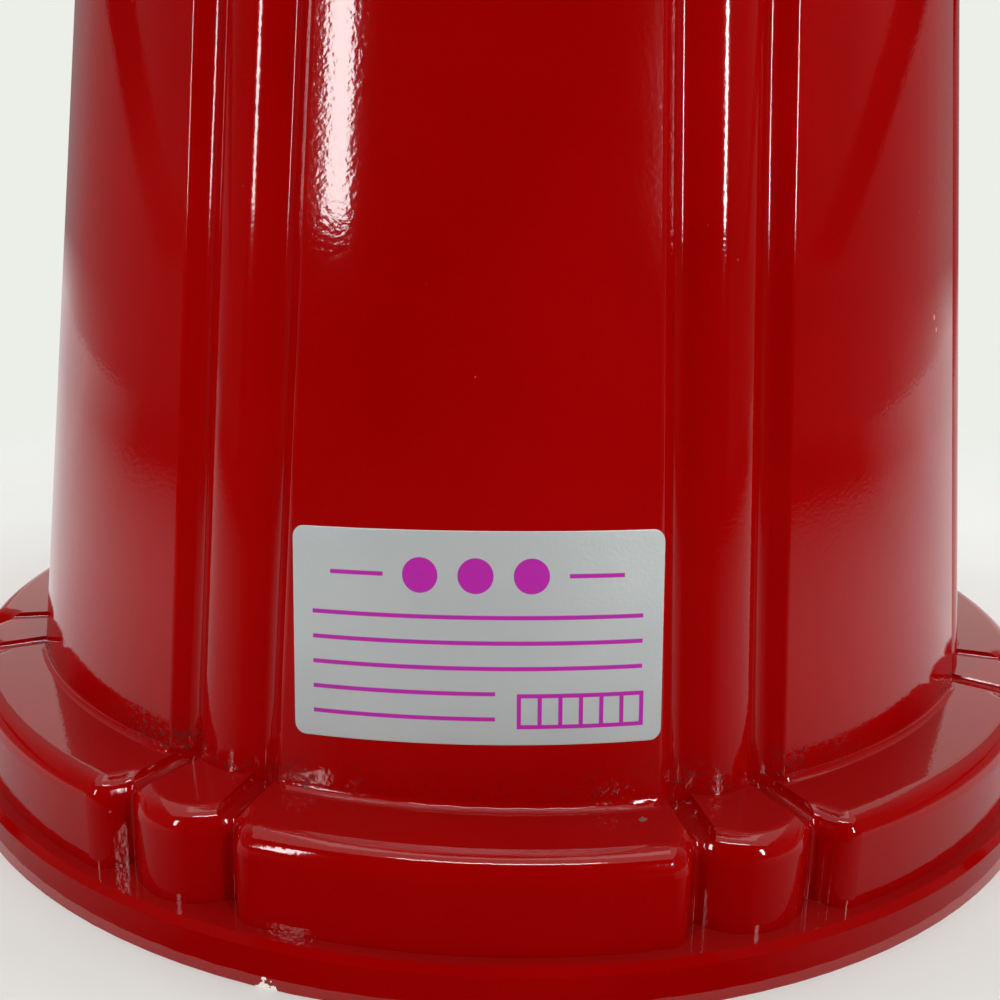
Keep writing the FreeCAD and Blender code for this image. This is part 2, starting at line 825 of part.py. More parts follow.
def ball_chute():
    """Bent tube from the pan's drop hole down to the door in the front."""
    mouth = V(0, -tunnel_back_y + seat_gap, chute_mouth_z)
    level = V(mouth.x - drop_point.x, mouth.y - drop_point.y, 0)
    fall = level.Length * math.tan(math.radians(chute_slope))
    bend = V(drop_point.x, drop_point.y, mouth.z + fall)
    along = (mouth - bend).normalize()
    down = V(0, 0, -1)
    half_turn = down.getAngle(along) / 2
    reach = chute_bend_radius * math.tan(half_turn)
    into_bend = bend - down * reach
    out_of_bend = bend + along * reach
    inward = (along - down).normalize()
    middle = bend + inward * (chute_bend_radius / math.cos(half_turn) - chute_bend_radius)
    top = V(bend.x, bend.y, pan_deck_z)
    end = mouth + along * chute_run_out
    path = Part.Wire([
        Part.makeLine(top, into_bend),
        Part.Arc(into_bend, middle, out_of_bend).toShape(),
        Part.makeLine(out_of_bend, end),
    ])

    def swept(radius):
        """Round bar of one radius along the path."""
        ring = Part.Wire(Part.makeCircle(radius, top, Z_AXIS))
        return path.makePipeShell([ring], True, False)

    pipe = swept(chute_radius + chute_wall).cut(swept(chute_radius))
    beyond = block(-reach_out, reach_out, -reach_out, mouth.y, -reach_out, reach_out)
    return pipe.cut(beyond)


def mech_plate():
    """Front plate of the coin drive, with the coin slot beside the shaft hole."""
    corners = box_corners(mech_plate_width / 2, mech_plate_height / 2, mech_plate_corner)
    plate = prism(corners, front_y, plate_front_y)
    edges = [e for e in plate.Edges if e.BoundBox.ZMin > plate_front_y - touch]
    plate = plate.makeFillet(mech_plate_edge, edges)
    bore = rod(shaft_radius + running_fit, front_y - cut_past, plate_front_y + cut_past)
    slot_far = drum_radius - coin_depth
    slot = block(-slot_far - coin_slot_width, -slot_far, -coin_slot_length / 2, coin_slot_length / 2,
                 front_y - cut_past, plate_front_y + cut_past)
    cuts = [bore, slot]
    hole = rod(plate_screw_radius + screw_fit, front_y - cut_past, plate_front_y + cut_past)
    for x, z in mech_screw_places():
        cuts.append(moved(hole, x, z - shaft_z))
    return forward(plate.cut(cuts), shaft_z)


def plate_screws():
    """Four screws at the corners of the coin plate."""
    one = screw(plate_screw_head_radius, plate_screw_head_height, plate_screw_radius, front_screw_length)
    one = moved(one, 0, 0, plate_front_y)
    return Part.makeCompound([forward(moved(one, x, 0), z) for x, z in mech_screw_places()])


def coin_housing():
    """Cup round the coin drum, open at the bottom for the coin, with a bearing in its back wall."""
    bore = shaft_radius + running_fit
    cup = turned(sharp([
        (bore, housing_rear_y),
        (housing_outer_radius, housing_rear_y),
        (housing_outer_radius, front_y - housing_flange_thickness),
        (housing_flange_radius, front_y - housing_flange_thickness),
        (housing_flange_radius, front_y),
        (housing_inner_radius, front_y),
        (housing_inner_radius, housing_front_y),
        (bore, housing_front_y),
    ]))
    coin_exit = block(-housing_exit_half_width, housing_exit_half_width, -reach_out, -drum_radius / 2,
                      housing_front_y, front_y - housing_flange_thickness - cut_past)
    pawl_face = ratchet_radius + loose_gap + pawl_thickness
    mount_low = pawl_tip_rise - pawl_length
    mount = block(pawl_face, pawl_face + pawl_block, mount_low, mount_low + pawl_block_length,
                  ratchet_back_y, housing_rear_y)
    return forward(cup.cut(coin_exit).fuse(mount), shaft_z)


def pawl_spring():
    """Leaf beside the ratchet that clicks against its teeth."""
    inner = ratchet_radius + loose_gap
    leaf_low = pawl_tip_rise - pawl_length
    leaf = block(inner, inner + pawl_thickness, leaf_low, pawl_tip_rise, ratchet_back_y, ratchet_front_y)
    return forward(leaf, shaft_z)


def chute_frame():
    """Bezel round the chute window, with a short tunnel behind it and two hinge ears in front."""
    middle = (frame_low_z + frame_high_z) / 2 - chute_mouth_z
    corners = box_corners(frame_width / 2, frame_height / 2, frame_corner, middle)
    plate = prism(corners, front_y, frame_front_y)
    half_tunnel = window_size / 2 + tunnel_wall
    tunnel = prism(box_corners(half_tunnel, half_tunnel, 0), tunnel_back_y, front_y)
    frame = plate.fuse(tunnel)
    corners = box_corners(window_size / 2, window_size / 2, window_corner)
    window = prism(corners, tunnel_back_y - cut_past, frame_front_y + cut_past)
    cuts = [window]
    hole = rod(frame_screw_radius + screw_fit, front_y - cut_past, frame_front_y + cut_past)
    for x, z in frame_screw_places():
        cuts.append(moved(hole, x, z - chute_mouth_z))
    frame = forward(frame.cut(cuts), chute_mouth_z)
    ear_start = knuckle_half_length() + seat_gap
    for side in (-1, 1):
        ear = Part.makeCylinder(ear_radius, ear_thickness, V(ear_start, -hinge_y, hinge_z), X_AXIS)
        foot = block(ear_start, ear_start + ear_thickness, -hinge_y, -frame_front_y + overlap,
                     hinge_z - ear_radius, hinge_z + ear_radius)
        ear = ear.fuse(foot)
        if side < 0:
            ear = ear.mirror(ORIGIN, X_AXIS)
        frame = frame.fuse(ear)
    pin_start = V(-reach_out / 2, -hinge_y, hinge_z)
    return frame.cut(Part.makeCylinder(pin_radius, reach_out, pin_start, X_AXIS))


def knuckle_half_length():
    """Half the length of the door's knuckle, which covers the window and a little each side."""
    return window_size / 2 + door_overlap


def frame_screws():
    """Two screws through the chute frame's side bars."""
    length = frame_thickness + front_wall
    one = screw(frame_screw_head_radius, frame_screw_head_height, frame_screw_radius, length)
    one = moved(one, 0, 0, frame_front_y)
    return Part.makeCompound([forward(moved(one, x, 0), z) for x, z in frame_screw_places()])


def door_pin():
    """Hinge pin through the ears, with a small head at each end."""
    half = knuckle_half_length() + seat_gap + ear_thickness
    end = half + pin_head_height
    pin = turned(sharp([
        (0, -end),
        (pin_head_radius, -end),
        (pin_head_radius, -half),
        (pin_radius, -half),
        (pin_radius, half),
        (pin_head_radius, half),
        (pin_head_radius, end),
        (0, end),
    ]))
    pin.rotate(ORIGIN, V(0, 1, 0), 90)
    return moved(pin, 0, -hinge_y, hinge_z)


def chute_door():
    """Top-hung flap over the chute mouth, with a rolled knuckle and a finger lip."""
    half = knuckle_half_length()
    back = frame_front_y + seat_gap
    low = hinge_z - door_drop
    section = [
        (back, hinge_z, 0),
        (back, low, door_foot_round),
        (back + door_lip, low - door_lip_drop, door_lip_round),
        (back + door_lip, low - door_lip_drop + door_thickness, door_lip_round),
        (back + door_thickness, low + door_bend_rise, door_bend_round),
        (back + door_thickness, hinge_z, 0),
    ]
    wire = rounded_wire(section, lambda a, b: V(-half, -a, b))
    flap = Part.Face(wire).extrude(V(2 * half, 0, 0))
    knuckle = Part.makeCylinder(knuckle_radius, 2 * half, V(-half, -hinge_y, hinge_z), X_AXIS)
    bore_start = V(-half - cut_past, -hinge_y, hinge_z)
    bore = Part.makeCylinder(pin_radius + running_fit, 2 * (half + cut_past), bore_start, X_AXIS)
    return flap.fuse(knuckle).cut(bore)


def globe_gasket():
    """Flat ring between the cup's seat and the globe."""
    inner = shelf_radius + seat_gap
    return tube(inner + gasket_width, inner, seat_z, globe_low_z)


def knob():
    """Turning handle: a round hub with a butterfly wing that flares towards its rounded tip."""
    hub = turned([
        (0, knob_back_y, 0),
        (knob_hub_radius, knob_back_y, 0),
        (knob_hub_radius, knob_wing_y, knob_hub_round),
        (0, knob_wing_y, 0),
    ])
    foot_z = knob_wing_y - knob_wing_root
    neck_z = knob_wing_y + knob_wing_neck
    outline = [
        (-knob_wing_foot_half_width, foot_z, 0),
        (knob_wing_foot_half_width, foot_z, 0),
        (knob_wing_foot_half_width, neck_z, knob_wing_round),
        (knob_wing_tip_half_width, knob_front_y, knob_wing_round),
        (0, knob_front_y - knob_wing_dip, knob_dip_round),
        (-knob_wing_tip_half_width, knob_front_y, knob_wing_round),
        (-knob_wing_foot_half_width, neck_z, knob_wing_round),
    ]
    wire = rounded_wire(outline, lambda a, b: V(-knob_wing_thickness / 2, a, b))
    wing = Part.Face(wire).extrude(V(knob_wing_thickness, 0, 0))
    edges = [e for e in wing.Edges if e.BoundBox.XLength < touch and e.BoundBox.ZMax > foot_z + touch]
    wing = wing.makeFillet(knob_edge, edges)
    bore = rod(shaft_radius, knob_back_y - cut_past, shaft_front_y())
    start = V(0, 0, knob_screw_y())
    cross = Part.makeCylinder(knob_screw_radius, knob_hub_radius + cut_past, start, X_AXIS)
    return forward(hub.fuse(wing).cut([bore, cross]), shaft_z)


def shaft_front_y():
    """Front end of the shaft inside the knob."""
    return knob_wing_y + knob_bore_depth


def knob_screw_y():
    """Distance of the knob's set screw along the shaft."""
    return (knob_back_y + knob_wing_y) / 2


def knob_screw():
    """Set screw through the side of the knob's hub onto the shaft."""
    length = knob_hub_radius - shaft_radius - knob_screw_sink
    pin = Part.makeCylinder(knob_screw_radius, length, V(shaft_radius, 0, knob_screw_y()), X_AXIS)
    return forward(pin, shaft_z)


def drive_shaft():
    """Shaft from the knob through the drum and ratchet to the pinion."""
    return forward(rod(shaft_radius, shaft_back_y, shaft_front_y()), shaft_z)


def coin_drum():
    """Drum that carries the coin round: the flat beside the slot makes room for one coin."""
    drum = tube(drum_radius, shaft_radius, drum_back_y, drum_front_y)
    flat = block(-reach_out, coin_depth - drum_radius, -reach_out, reach_out, 0, reach_out)
    return forward(drum.cut(flat), shaft_z)


def ratchet_wheel():
    """Saw-toothed wheel that lets the handle turn one way."""
    corners = []
    pitch = 360.0 / ratchet_teeth
    for index in range(ratchet_teeth):
        tip = polar(ratchet_radius, index * pitch)
        root = polar(ratchet_radius - ratchet_tooth_depth, (index + ratchet_face_share) * pitch)
        corners.append((tip.x, tip.y, 0))
        corners.append((root.x, root.y, 0))
    wheel = prism(corners, ratchet_back_y, ratchet_front_y)
    bore = rod(shaft_radius, ratchet_back_y - cut_past, ratchet_front_y + cut_past)
    return forward(wheel.cut(bore), shaft_z)


def involute(angle):
    """Involute function of an angle in radians."""
    return math.tan(angle) - angle


def drive_pinion():
    """Pinion with involute flanks. A gap faces up at rest, where a crown tooth sits."""
    pressure = math.radians(pressure_angle)
    base = pinion_radius * math.cos(pressure)
    root = pinion_radius - tooth_dedendum
    tip = pinion_radius + tooth_addendum
    half_pitch_angle = tooth_share * math.pi / pinion_teeth
    flank = [(root, 0.0)]
    start = max(base, root)
    for step in range(flank_steps + 1):
        radius = start + step / flank_steps * (tip - start)
        flank.append((radius, math.acos(min(1.0, base / radius))))
    corners = []
    for index in range(pinion_teeth):
        middle = 90 + (index + 0.5) * 360.0 / pinion_teeth
        for side, run in ((-1, flank), (1, flank[::-1])):
            for radius, angle in run:
                half = half_pitch_angle + involute(pressure) - involute(angle)
                point = polar(radius, middle + side * math.degrees(half))
                corners.append((point.x, point.y, 0))
    gear = prism(corners, pinion_back_y, pinion_front_y)
    bore = rod(shaft_radius, pinion_back_y - cut_past, pinion_front_y + cut_past)
    return forward(gear.cut(bore), shaft_z)


def shaft_clip():
    """Open retaining ring behind the pinion."""
    ring = tube(clip_radius, shaft_radius, clip_back_y, pinion_back_y)
    mouth = block(-clip_mouth_half_width, clip_mouth_half_width, -reach_out, 0, 0, reach_out)
    return forward(ring.cut(mouth), shaft_z)


def dispensing_wheel():
    """Thick wheel with round pockets, each taking one ball from the globe to the drop hole."""
    wheel = turned([
        (bush_radius, wheel_low_z, 0),
        (wheel_radius, wheel_low_z, 0),
        (wheel_radius, wheel_high_z, wheel_edge),
        (bush_radius, wheel_high_z, 0),
    ])
    mouth = pocket_radius + pocket_chamfer
    pocket = turned(sharp([
        (0, wheel_low_z - cut_past),
        (pocket_radius, wheel_low_z - cut_past),
        (pocket_radius, wheel_high_z - pocket_chamfer),
        (mouth, wheel_high_z),
        (mouth, wheel_high_z + cut_past),
        (0, wheel_high_z + cut_past),
    ]))
    pockets = []
    for index in range(pocket_count):
        place = polar(pocket_circle, drop_angle + index * 360.0 / pocket_count)
        pockets.append(moved(pocket, place.x, place.y))
    return wheel.cut(pockets)


def wheel_gear():
    """Crown gear under the wheel's edge, its teeth pointing down. One tooth faces the pinion at rest."""
    inner = gear_mean_radius - gear_face_width / 2
    outer = gear_mean_radius + gear_face_width / 2
    root_z = gear_pitch_z + tooth_dedendum
    ring = tube(outer, inner, root_z, wheel_low_z)
    half = tooth_share * math.pi * gear_mean_radius / gear_teeth
    lean = math.tan(math.radians(pressure_angle))
    tip = half - lean * tooth_addendum
    base = half + lean * (tooth_dedendum + overlap)
    low = gear_pitch_z - tooth_addendum
    high = root_z + overlap
    outline = sharp([(-tip, low), (tip, low), (base, high), (-base, high)])
    wire = rounded_wire(outline, lambda a, b: V(a, tooth_end_gap - outer, b))
    tooth = Part.Face(wire).extrude(V(0, gear_face_width - 2 * tooth_end_gap, 0))
    teeth = [spun(tooth, 360.0 / gear_teeth * index) for index in range(gear_teeth)]
    return ring.fuse(teeth).removeSplitter()


def wheel_bush():
    """Flanged bearing between the wheel and the tie rod."""
    bore = rod_radius + running_fit
    return turned([
        (bore, pan_deck_z + thrust_gap, 0),
        (bush_flange_radius, pan_deck_z + thrust_gap, 0),
        (bush_flange_radius, wheel_low_z, 0),
        (bush_radius, wheel_low_z, 0),
        (bush_radius, wheel_high_z, 0),
        (bore, wheel_high_z, 0),
    ])


def agitator():
    """Finned hub on the wheel that keeps the balls moving."""
    bore = rod_radius + loose_gap
    high = wheel_high_z + agitator_height
    hub = turned([
        (bore, wheel_high_z, 0),
        (agitator_hub_radius, wheel_high_z, 0),
        (agitator_tip_radius, high, agitator_round),
        (bore, high, 0),
    ])
    fin_top = high - agitator_fin_step
    inside = bore + cut_past
    outline = [
        (inside, wheel_high_z, 0),
        (agitator_reach, wheel_high_z, 0),
        (agitator_reach, wheel_high_z + agitator_fin_step, agitator_round),
        (agitator_tip_radius + agitator_round, fin_top, agitator_round),
        (inside, fin_top, 0),
    ]
    wire = rounded_wire(outline, lambda a, b: V(a, -agitator_fin_thickness / 2, b))
    fin = Part.Face(wire).extrude(V(0, agitator_fin_thickness, 0))
    fins = [spun(fin, 360.0 / agitator_fin_count * index) for index in range(agitator_fin_count)]
    return hub.fuse(fins).cut(rod(bore, wheel_high_z - cut_past, high + cut_past))


def globe():
    """Glass ball with a wide opening at the foot and one at the neck."""
    centre = V(0, 0, globe_centre_z)
    shell = Part.makeSphere(globe_radius, centre).cut(Part.makeSphere(globe_inner_radius, centre))
    return shell.common(rod(globe_radius + cut_past, globe_low_z, globe_high_z))


def lid_gasket():
    """Flat ring between the globe's neck and the lid."""
    outer = globe_neck_radius - lid_gasket_outer_gap
    inner = globe_mouth_radius + lid_gasket_inner_gap
    return tube(outer, inner, globe_high_z, lid_low_z)


def lid():
    """Cast lid: a stepped dome with a skirt round the globe's neck and a lip inside it."""
    lip = globe_mouth_radius - lid_lip_gap
    inside = lip - lid_lip_wall
    shoulder = lid_low_z + lid_wall
    step = shoulder + lid_step_share * (lid_height - lid_wall)
    crown = lid_high_z - lid_crown_height
    dome = step + lid_dome_share * (crown - step)
    dome_radius = lid_dome_width_share * lip
    skirt_inner = lid_skirt_radius - lid_skirt_wall
    low = lid_low_z - lid_skirt_drop
    return turned([
        (lid_hole_radius, lid_high_z, 0),
        (lid_hole_radius, crown - lid_wall, 0),
        (lid_crown_radius, crown - lid_wall, 0),
        (dome_radius - 2 * lid_wall, dome - 1.6 * lid_wall, 0),
        (inside, step - 1.6 * lid_wall, 0),
        (inside, low + lid_lip_rise, 0),
        (lip, low + lid_lip_rise, 0),
        (lip, lid_low_z, 0),
        (skirt_inner, lid_low_z, 0),
        (skirt_inner, low, 0),
        (lid_skirt_radius, low, lid_edge),
        (lid_skirt_radius, shoulder, lid_shoulder_edge),
        (inside + 3.6 * lid_wall, shoulder + lid_shoulder_rise, lid_step_foot_round),
        (inside + 2.9 * lid_wall, step, lid_step_round),
        (dome_radius, dome, lid_dome_round),
        (lid_crown_radius + lid_crown_run, crown, lid_crown_round),
        (lid_crown_radius, crown, 0),
        (lid_crown_radius, lid_high_z, lid_edge),
    ])


def lid_knob():
    """Fluted locking knob that screws down on the tie rod."""
    low = lid_knob_low_z
    high = lid_knob_high_z
    neck = low + lid_knob_neck
    body = turned([
        (0, low, 0),
        (lid_knob_radius, low, 0),
        (lid_knob_radius, low + lid_knob_flange, lid_knob_edge),
        (lid_knob_waist_radius, neck, lid_knob_waist_round),
        (lid_knob_grip_radius, low + lid_knob_grip_rise, lid_knob_grip_round),
        (lid_knob_crown_radius, high, lid_knob_crown_round),
        (0, high, 0),
    ])
    flute_circle = lid_knob_grip_radius + lid_knob_flute_radius - lid_knob_flute_depth
    flute = moved(rod(lid_knob_flute_radius, neck, high + cut_past), flute_circle, 0)
    flutes = [spun(flute, 360.0 / lid_knob_flutes * index) for index in range(lid_knob_flutes)]
    bore = rod(lid_insert_radius, low - cut_past, low + lid_knob_bore_depth)
    return body.cut(flutes).cut(bore)


def lid_knob_insert():
    """Threaded insert pressed into the locking knob."""
    low = lid_knob_low_z + lid_insert_sink
    return tube(lid_insert_radius, rod_radius + seat_gap, low, lid_knob_low_z + lid_knob_bore_depth)


makers = [
    base_casting, bottom_plate, rod_washer, rod_nut, tie_rod,
    hopper_pan, pan_screws, ball_guard, guard_screws, ball_chute,
    mech_plate, plate_screws, coin_housing, pawl_spring,
    chute_frame, frame_screws, door_pin, chute_door, globe_gasket,
    knob, knob_screw, drive_shaft, coin_drum, ratchet_wheel, drive_pinion, shaft_clip,
    dispensing_wheel, wheel_gear, wheel_bush, agitator,
    globe, lid, lid_gasket, lid_knob, lid_knob_insert,
]

os.makedirs("parts", exist_ok=True)
for maker in makers:
    shape = maker()
    if not shape.isValid():
        print("not valid:", maker.__name__)
    shape.exportStep("parts/" + maker.__name__ + ".step")
    print(maker.__name__, len(shape.Solids), "solid(s),", round(shape.Volume / 1000, 2), "cubic cm")
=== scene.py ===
"""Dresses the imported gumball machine: paint, plating, glass, label, floor, light and camera."""

import json
import logging
import math
from dataclasses import dataclass, field
from enum import Enum

import bpy
from mathutils import Matrix, Vector


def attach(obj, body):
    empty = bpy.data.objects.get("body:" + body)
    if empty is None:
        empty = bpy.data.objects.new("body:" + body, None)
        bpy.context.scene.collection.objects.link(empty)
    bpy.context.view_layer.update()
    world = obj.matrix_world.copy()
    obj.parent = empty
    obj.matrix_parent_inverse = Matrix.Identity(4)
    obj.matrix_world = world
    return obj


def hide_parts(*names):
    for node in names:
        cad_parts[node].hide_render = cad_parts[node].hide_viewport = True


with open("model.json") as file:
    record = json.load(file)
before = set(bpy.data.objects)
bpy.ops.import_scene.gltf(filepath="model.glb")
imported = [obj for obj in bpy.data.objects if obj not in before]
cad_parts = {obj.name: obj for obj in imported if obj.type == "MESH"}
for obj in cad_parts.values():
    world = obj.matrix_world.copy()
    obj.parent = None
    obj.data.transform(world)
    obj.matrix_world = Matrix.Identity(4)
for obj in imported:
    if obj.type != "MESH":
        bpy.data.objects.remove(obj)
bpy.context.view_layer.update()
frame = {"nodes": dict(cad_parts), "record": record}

log = logging.getLogger("gumball_machine")
MM = 0.001
Colour = tuple[float, float, float]
Spot = tuple[float, float]
MeshData = tuple[list[Vector], list[tuple[int, ...]]]


class Slot(Enum):
    """Material slots of the record."""

    RED_PAINT = "red_paint"
    CHROME = "chrome"
    STEEL = "steel"
    BLACK_PLASTIC = "black_plastic"
    WHITE_PLASTIC = "white_plastic"
    BRASS = "brass"
    RUBBER = "rubber"
    GLASS = "glass"


class Body(Enum):
    """Bodies that scene pieces ride on."""

    BASE = "base"


def link_mesh(name: str, verts: list, faces: list, smooth: bool = True) -> bpy.types.Object:
    """Make a mesh object from points in metres and put it in the scene.

    Args:
        name: Name of the piece.
        verts: Points, in metres.
        faces: Tuples of point numbers.
        smooth: Whether its faces are shaded smooth.

    Returns:
        The new object.
    """
    mesh = bpy.data.meshes.new(name)
    mesh.from_pydata([tuple(v) for v in verts], [], faces)
    mesh.validate()
    mesh.polygons.foreach_set("use_smooth", [smooth] * len(mesh.polygons))
    mesh.update()
    made = bpy.data.objects.new(name, mesh)
    bpy.context.scene.collection.objects.link(made)
    return made


class Graph:
    """A node tree with short calls to add and join nodes."""

    def __init__(self, tree: bpy.types.NodeTree) -> None:
        """Keep the tree that the calls work on."""
        self.tree = tree

    def add(self, kind: str, **values: object) -> bpy.types.Node:
        """Add a node.

        Args:
            kind: Blender's node type.
            values: Settings of the node, or values for its named inputs with spaces as underscores.

        Returns:
            The new node.
        """
        node = self.tree.nodes.new(kind)
        for key, value in values.items():
            socket = next((s for s in node.inputs if s.name == key.replace("_", " ")), None)
            if socket is not None:
                socket.default_value = value
            else:
                setattr(node, key, value)
        return node

    def join(self, start: bpy.types.NodeSocket, end: bpy.types.NodeSocket) -> None:
        """Link an output to an input."""
        self.tree.links.new(start, end)

    def math(self, operation: str, *values: object) -> bpy.types.NodeSocket:
        """Work out a value from others.

        Args:
            operation: Blender's name of the operation.
            values: Outputs or plain numbers, in order.

        Returns:
            The result.
        """
        node = self.add("ShaderNodeMath", operation=operation)
        for socket, value in zip(node.inputs, values):
            if isinstance(value, bpy.types.NodeSocket):
                self.join(value, socket)
            else:
                socket.default_value = value
        return node.outputs[0]

    def ramp(self, start: bpy.types.NodeSocket, low: float, high: float,
             low_value: float, high_value: float) -> bpy.types.NodeSocket:
        """Map a value from one range to another.

        Args:
            start: Output to map.
            low: Start of the input range.
            high: End of the input range.
            low_value: Value given at the start.
            high_value: Value given at the end.

        Returns:
            The mapped output.
        """
        node = self.add("ShaderNodeMapRange", clamp=True)
        for name, value in (("From Min", low), ("From Max", high),
                            ("To Min", low_value), ("To Max", high_value)):
            node.inputs[name].default_value = value
        self.join(start, node.inputs["Value"])
        return node.outputs["Result"]

    def over(self, colour: bpy.types.NodeSocket, mask: bpy.types.NodeSocket,
             tint: Colour) -> bpy.types.NodeSocket:
        """Return a colour with a tint laid over it where the mask is."""
        layer = self.add("ShaderNodeMix", data_type="RGBA")
        under, upper = [s for s in layer.inputs if s.type == "RGBA"]
        upper.default_value = (*tint, 1.0)
        self.join(colour, under)
        self.join(mask, layer.inputs["Factor"])
        return next(s for s in layer.outputs if s.type == "RGBA")

    def find(self, kind: str) -> bpy.types.Node:
        """Return the first node of a type."""
        return next(n for n in self.tree.nodes if n.type == kind)


class Effect(Enum):
    """Shader node groups that the finishes draw on."""

    UNEVEN = "uneven_surface"
    WEAR = "wear_and_dust"
    BRUSHED = "brushed_lines"


class EffectLibrary:
    """Builds each node group once."""

    CLOUD_SCALE: float = 22.0
    PATCH_SCALE: float = 35.0
    PATCH_EDGE: tuple[float, float] = (0.58, 0.66)
    UPWARD_EDGE: tuple[float, float] = (0.75, 1.0)

    def __init__(self) -> None:
        """Start with no groups made."""
        self.made: dict[Effect, bpy.types.NodeTree] = {}

    def get(self, effect: Effect) -> bpy.types.NodeTree:
        """Return the group of an effect, building it at first use."""
        if effect not in self.made:
            makers = {Effect.UNEVEN: self.uneven, Effect.WEAR: self.wear, Effect.BRUSHED: self.brushed}
            self.made[effect] = makers[effect]()
        return self.made[effect]

    @staticmethod
    def start(effect: Effect, inputs: dict[str, float],
              outputs: list[str]) -> tuple[bpy.types.NodeTree, Graph]:
        """Make an empty group with float sockets.

        Args:
            effect: Effect that the group makes.
            inputs: Names and first values of its inputs.
            outputs: Names of its outputs.

        Returns:
            The group and a graph on it.
        """
        tree = bpy.data.node_groups.new(effect.value, "ShaderNodeTree")
        for name, value in inputs.items():
            socket = tree.interface.new_socket(name, in_out="INPUT", socket_type="NodeSocketFloat")
            socket.default_value = value
        for name in outputs:
            tree.interface.new_socket(name, in_out="OUTPUT", socket_type="NodeSocketFloat")
        return tree, Graph(tree)

    def uneven(self) -> bpy.types.NodeTree:
        """Fine ripple of a sprayed or moulded surface, with slow waves under it."""
        sizes = {"Ripple Scale": 600.0, "Wave Scale": 90.0, "Wave Share": 0.5}
        tree, graph = self.start(Effect.UNEVEN, sizes, ["Height", "Cloud"])
        source = graph.add("NodeGroupInput")
        sink = graph.add("NodeGroupOutput")
        place = graph.add("ShaderNodeTexCoord")
        ripple = graph.add("ShaderNodeTexNoise", Detail=1.5, Roughness=0.4)
        wave = graph.add("ShaderNodeTexNoise", Detail=1.0, Roughness=0.4)
        cloud = graph.add("ShaderNodeTexNoise", Scale=self.CLOUD_SCALE, Detail=3.0, Roughness=0.55)
        for node in (ripple, wave, cloud):
            graph.join(place.outputs["Object"], node.inputs["Vector"])
        for node, name in ((ripple, "Ripple Scale"), (wave, "Wave Scale")):
            graph.join(source.outputs[name], node.inputs["Scale"])
        height = graph.math("MULTIPLY_ADD", wave.outputs["Fac"], source.outputs["Wave Share"],
                            ripple.outputs["Fac"])
        graph.join(height, sink.inputs["Height"])
        graph.join(cloud.outputs["Fac"], sink.inputs["Cloud"])
        return tree

    def wear(self) -> bpy.types.NodeTree:
        """Sparse specks and a dust film that settles on faces turned up."""
        sizes = {"Speck Scale": 260.0, "Speck Size": 0.06, "Dust": 0.3}
        tree, graph = self.start(Effect.WEAR, sizes, ["Specks", "Film"])
        source = graph.add("NodeGroupInput")
        sink = graph.add("NodeGroupOutput")
        place = graph.add("ShaderNodeTexCoord")
        cells = graph.add("ShaderNodeTexVoronoi", feature="F1")
        patch = graph.add("ShaderNodeTexNoise", Scale=self.PATCH_SCALE, Detail=2.0)
        for node in (cells, patch):
            graph.join(place.outputs["Object"], node.inputs["Vector"])
        graph.join(source.outputs["Speck Scale"], cells.inputs["Scale"])
        near = graph.math("LESS_THAN", cells.outputs["Distance"], source.outputs["Speck Size"])
        chosen = graph.ramp(patch.outputs["Fac"], *self.PATCH_EDGE, 0.0, 1.0)
        graph.join(graph.math("MULTIPLY", near, chosen), sink.inputs["Specks"])
        split = graph.add("ShaderNodeSeparateXYZ")
        graph.join(graph.add("ShaderNodeNewGeometry").outputs["Normal"], split.inputs[0])
        upward = graph.ramp(split.outputs["Z"], *self.UPWARD_EDGE, 0.0, 1.0)
        film = graph.math("MULTIPLY", upward, source.outputs["Dust"])
        graph.join(graph.math("MULTIPLY", film, patch.outputs["Fac"]), sink.inputs["Film"])
        return tree

    def brushed(self) -> bpy.types.NodeTree:
        """Fine lines from polishing or drawing."""
        tree, graph = self.start(Effect.BRUSHED, {"Line Scale": 900.0, "Stretch": 0.04}, ["Lines"])
        source = graph.add("NodeGroupInput")
        sink = graph.add("NodeGroupOutput")
        place = graph.add("ShaderNodeTexCoord")
        squeeze = graph.add("ShaderNodeCombineXYZ", X=1.0, Z=1.0)
        graph.join(source.outputs["Stretch"], squeeze.inputs["Y"])
        scaled = graph.add("ShaderNodeVectorMath", operation="MULTIPLY")
        graph.join(place.outputs["Object"], scaled.inputs[0])
        graph.join(squeeze.outputs[0], scaled.inputs[1])
        lines = graph.add("ShaderNodeTexNoise", Detail=3.0, Roughness=0.6)
        graph.join(scaled.outputs[0], lines.inputs["Vector"])
        graph.join(source.outputs["Line Scale"], lines.inputs["Scale"])
        graph.join(lines.outputs["Fac"], sink.inputs["Lines"])
        return tree


EFFECTS = EffectLibrary()


@dataclass(frozen=True)
class Surface:
    """Outputs that a finish feeds to its shader."""

    colour: bpy.types.NodeSocket
    gloss: bpy.types.NodeSocket
    height: bpy.types.NodeSocket


@dataclass(frozen=True)
class Mark:
    """Small blemish in the paint, at a place in millimetres."""

    spot: tuple[float, float, float]
    radius: float
    colour: Colour


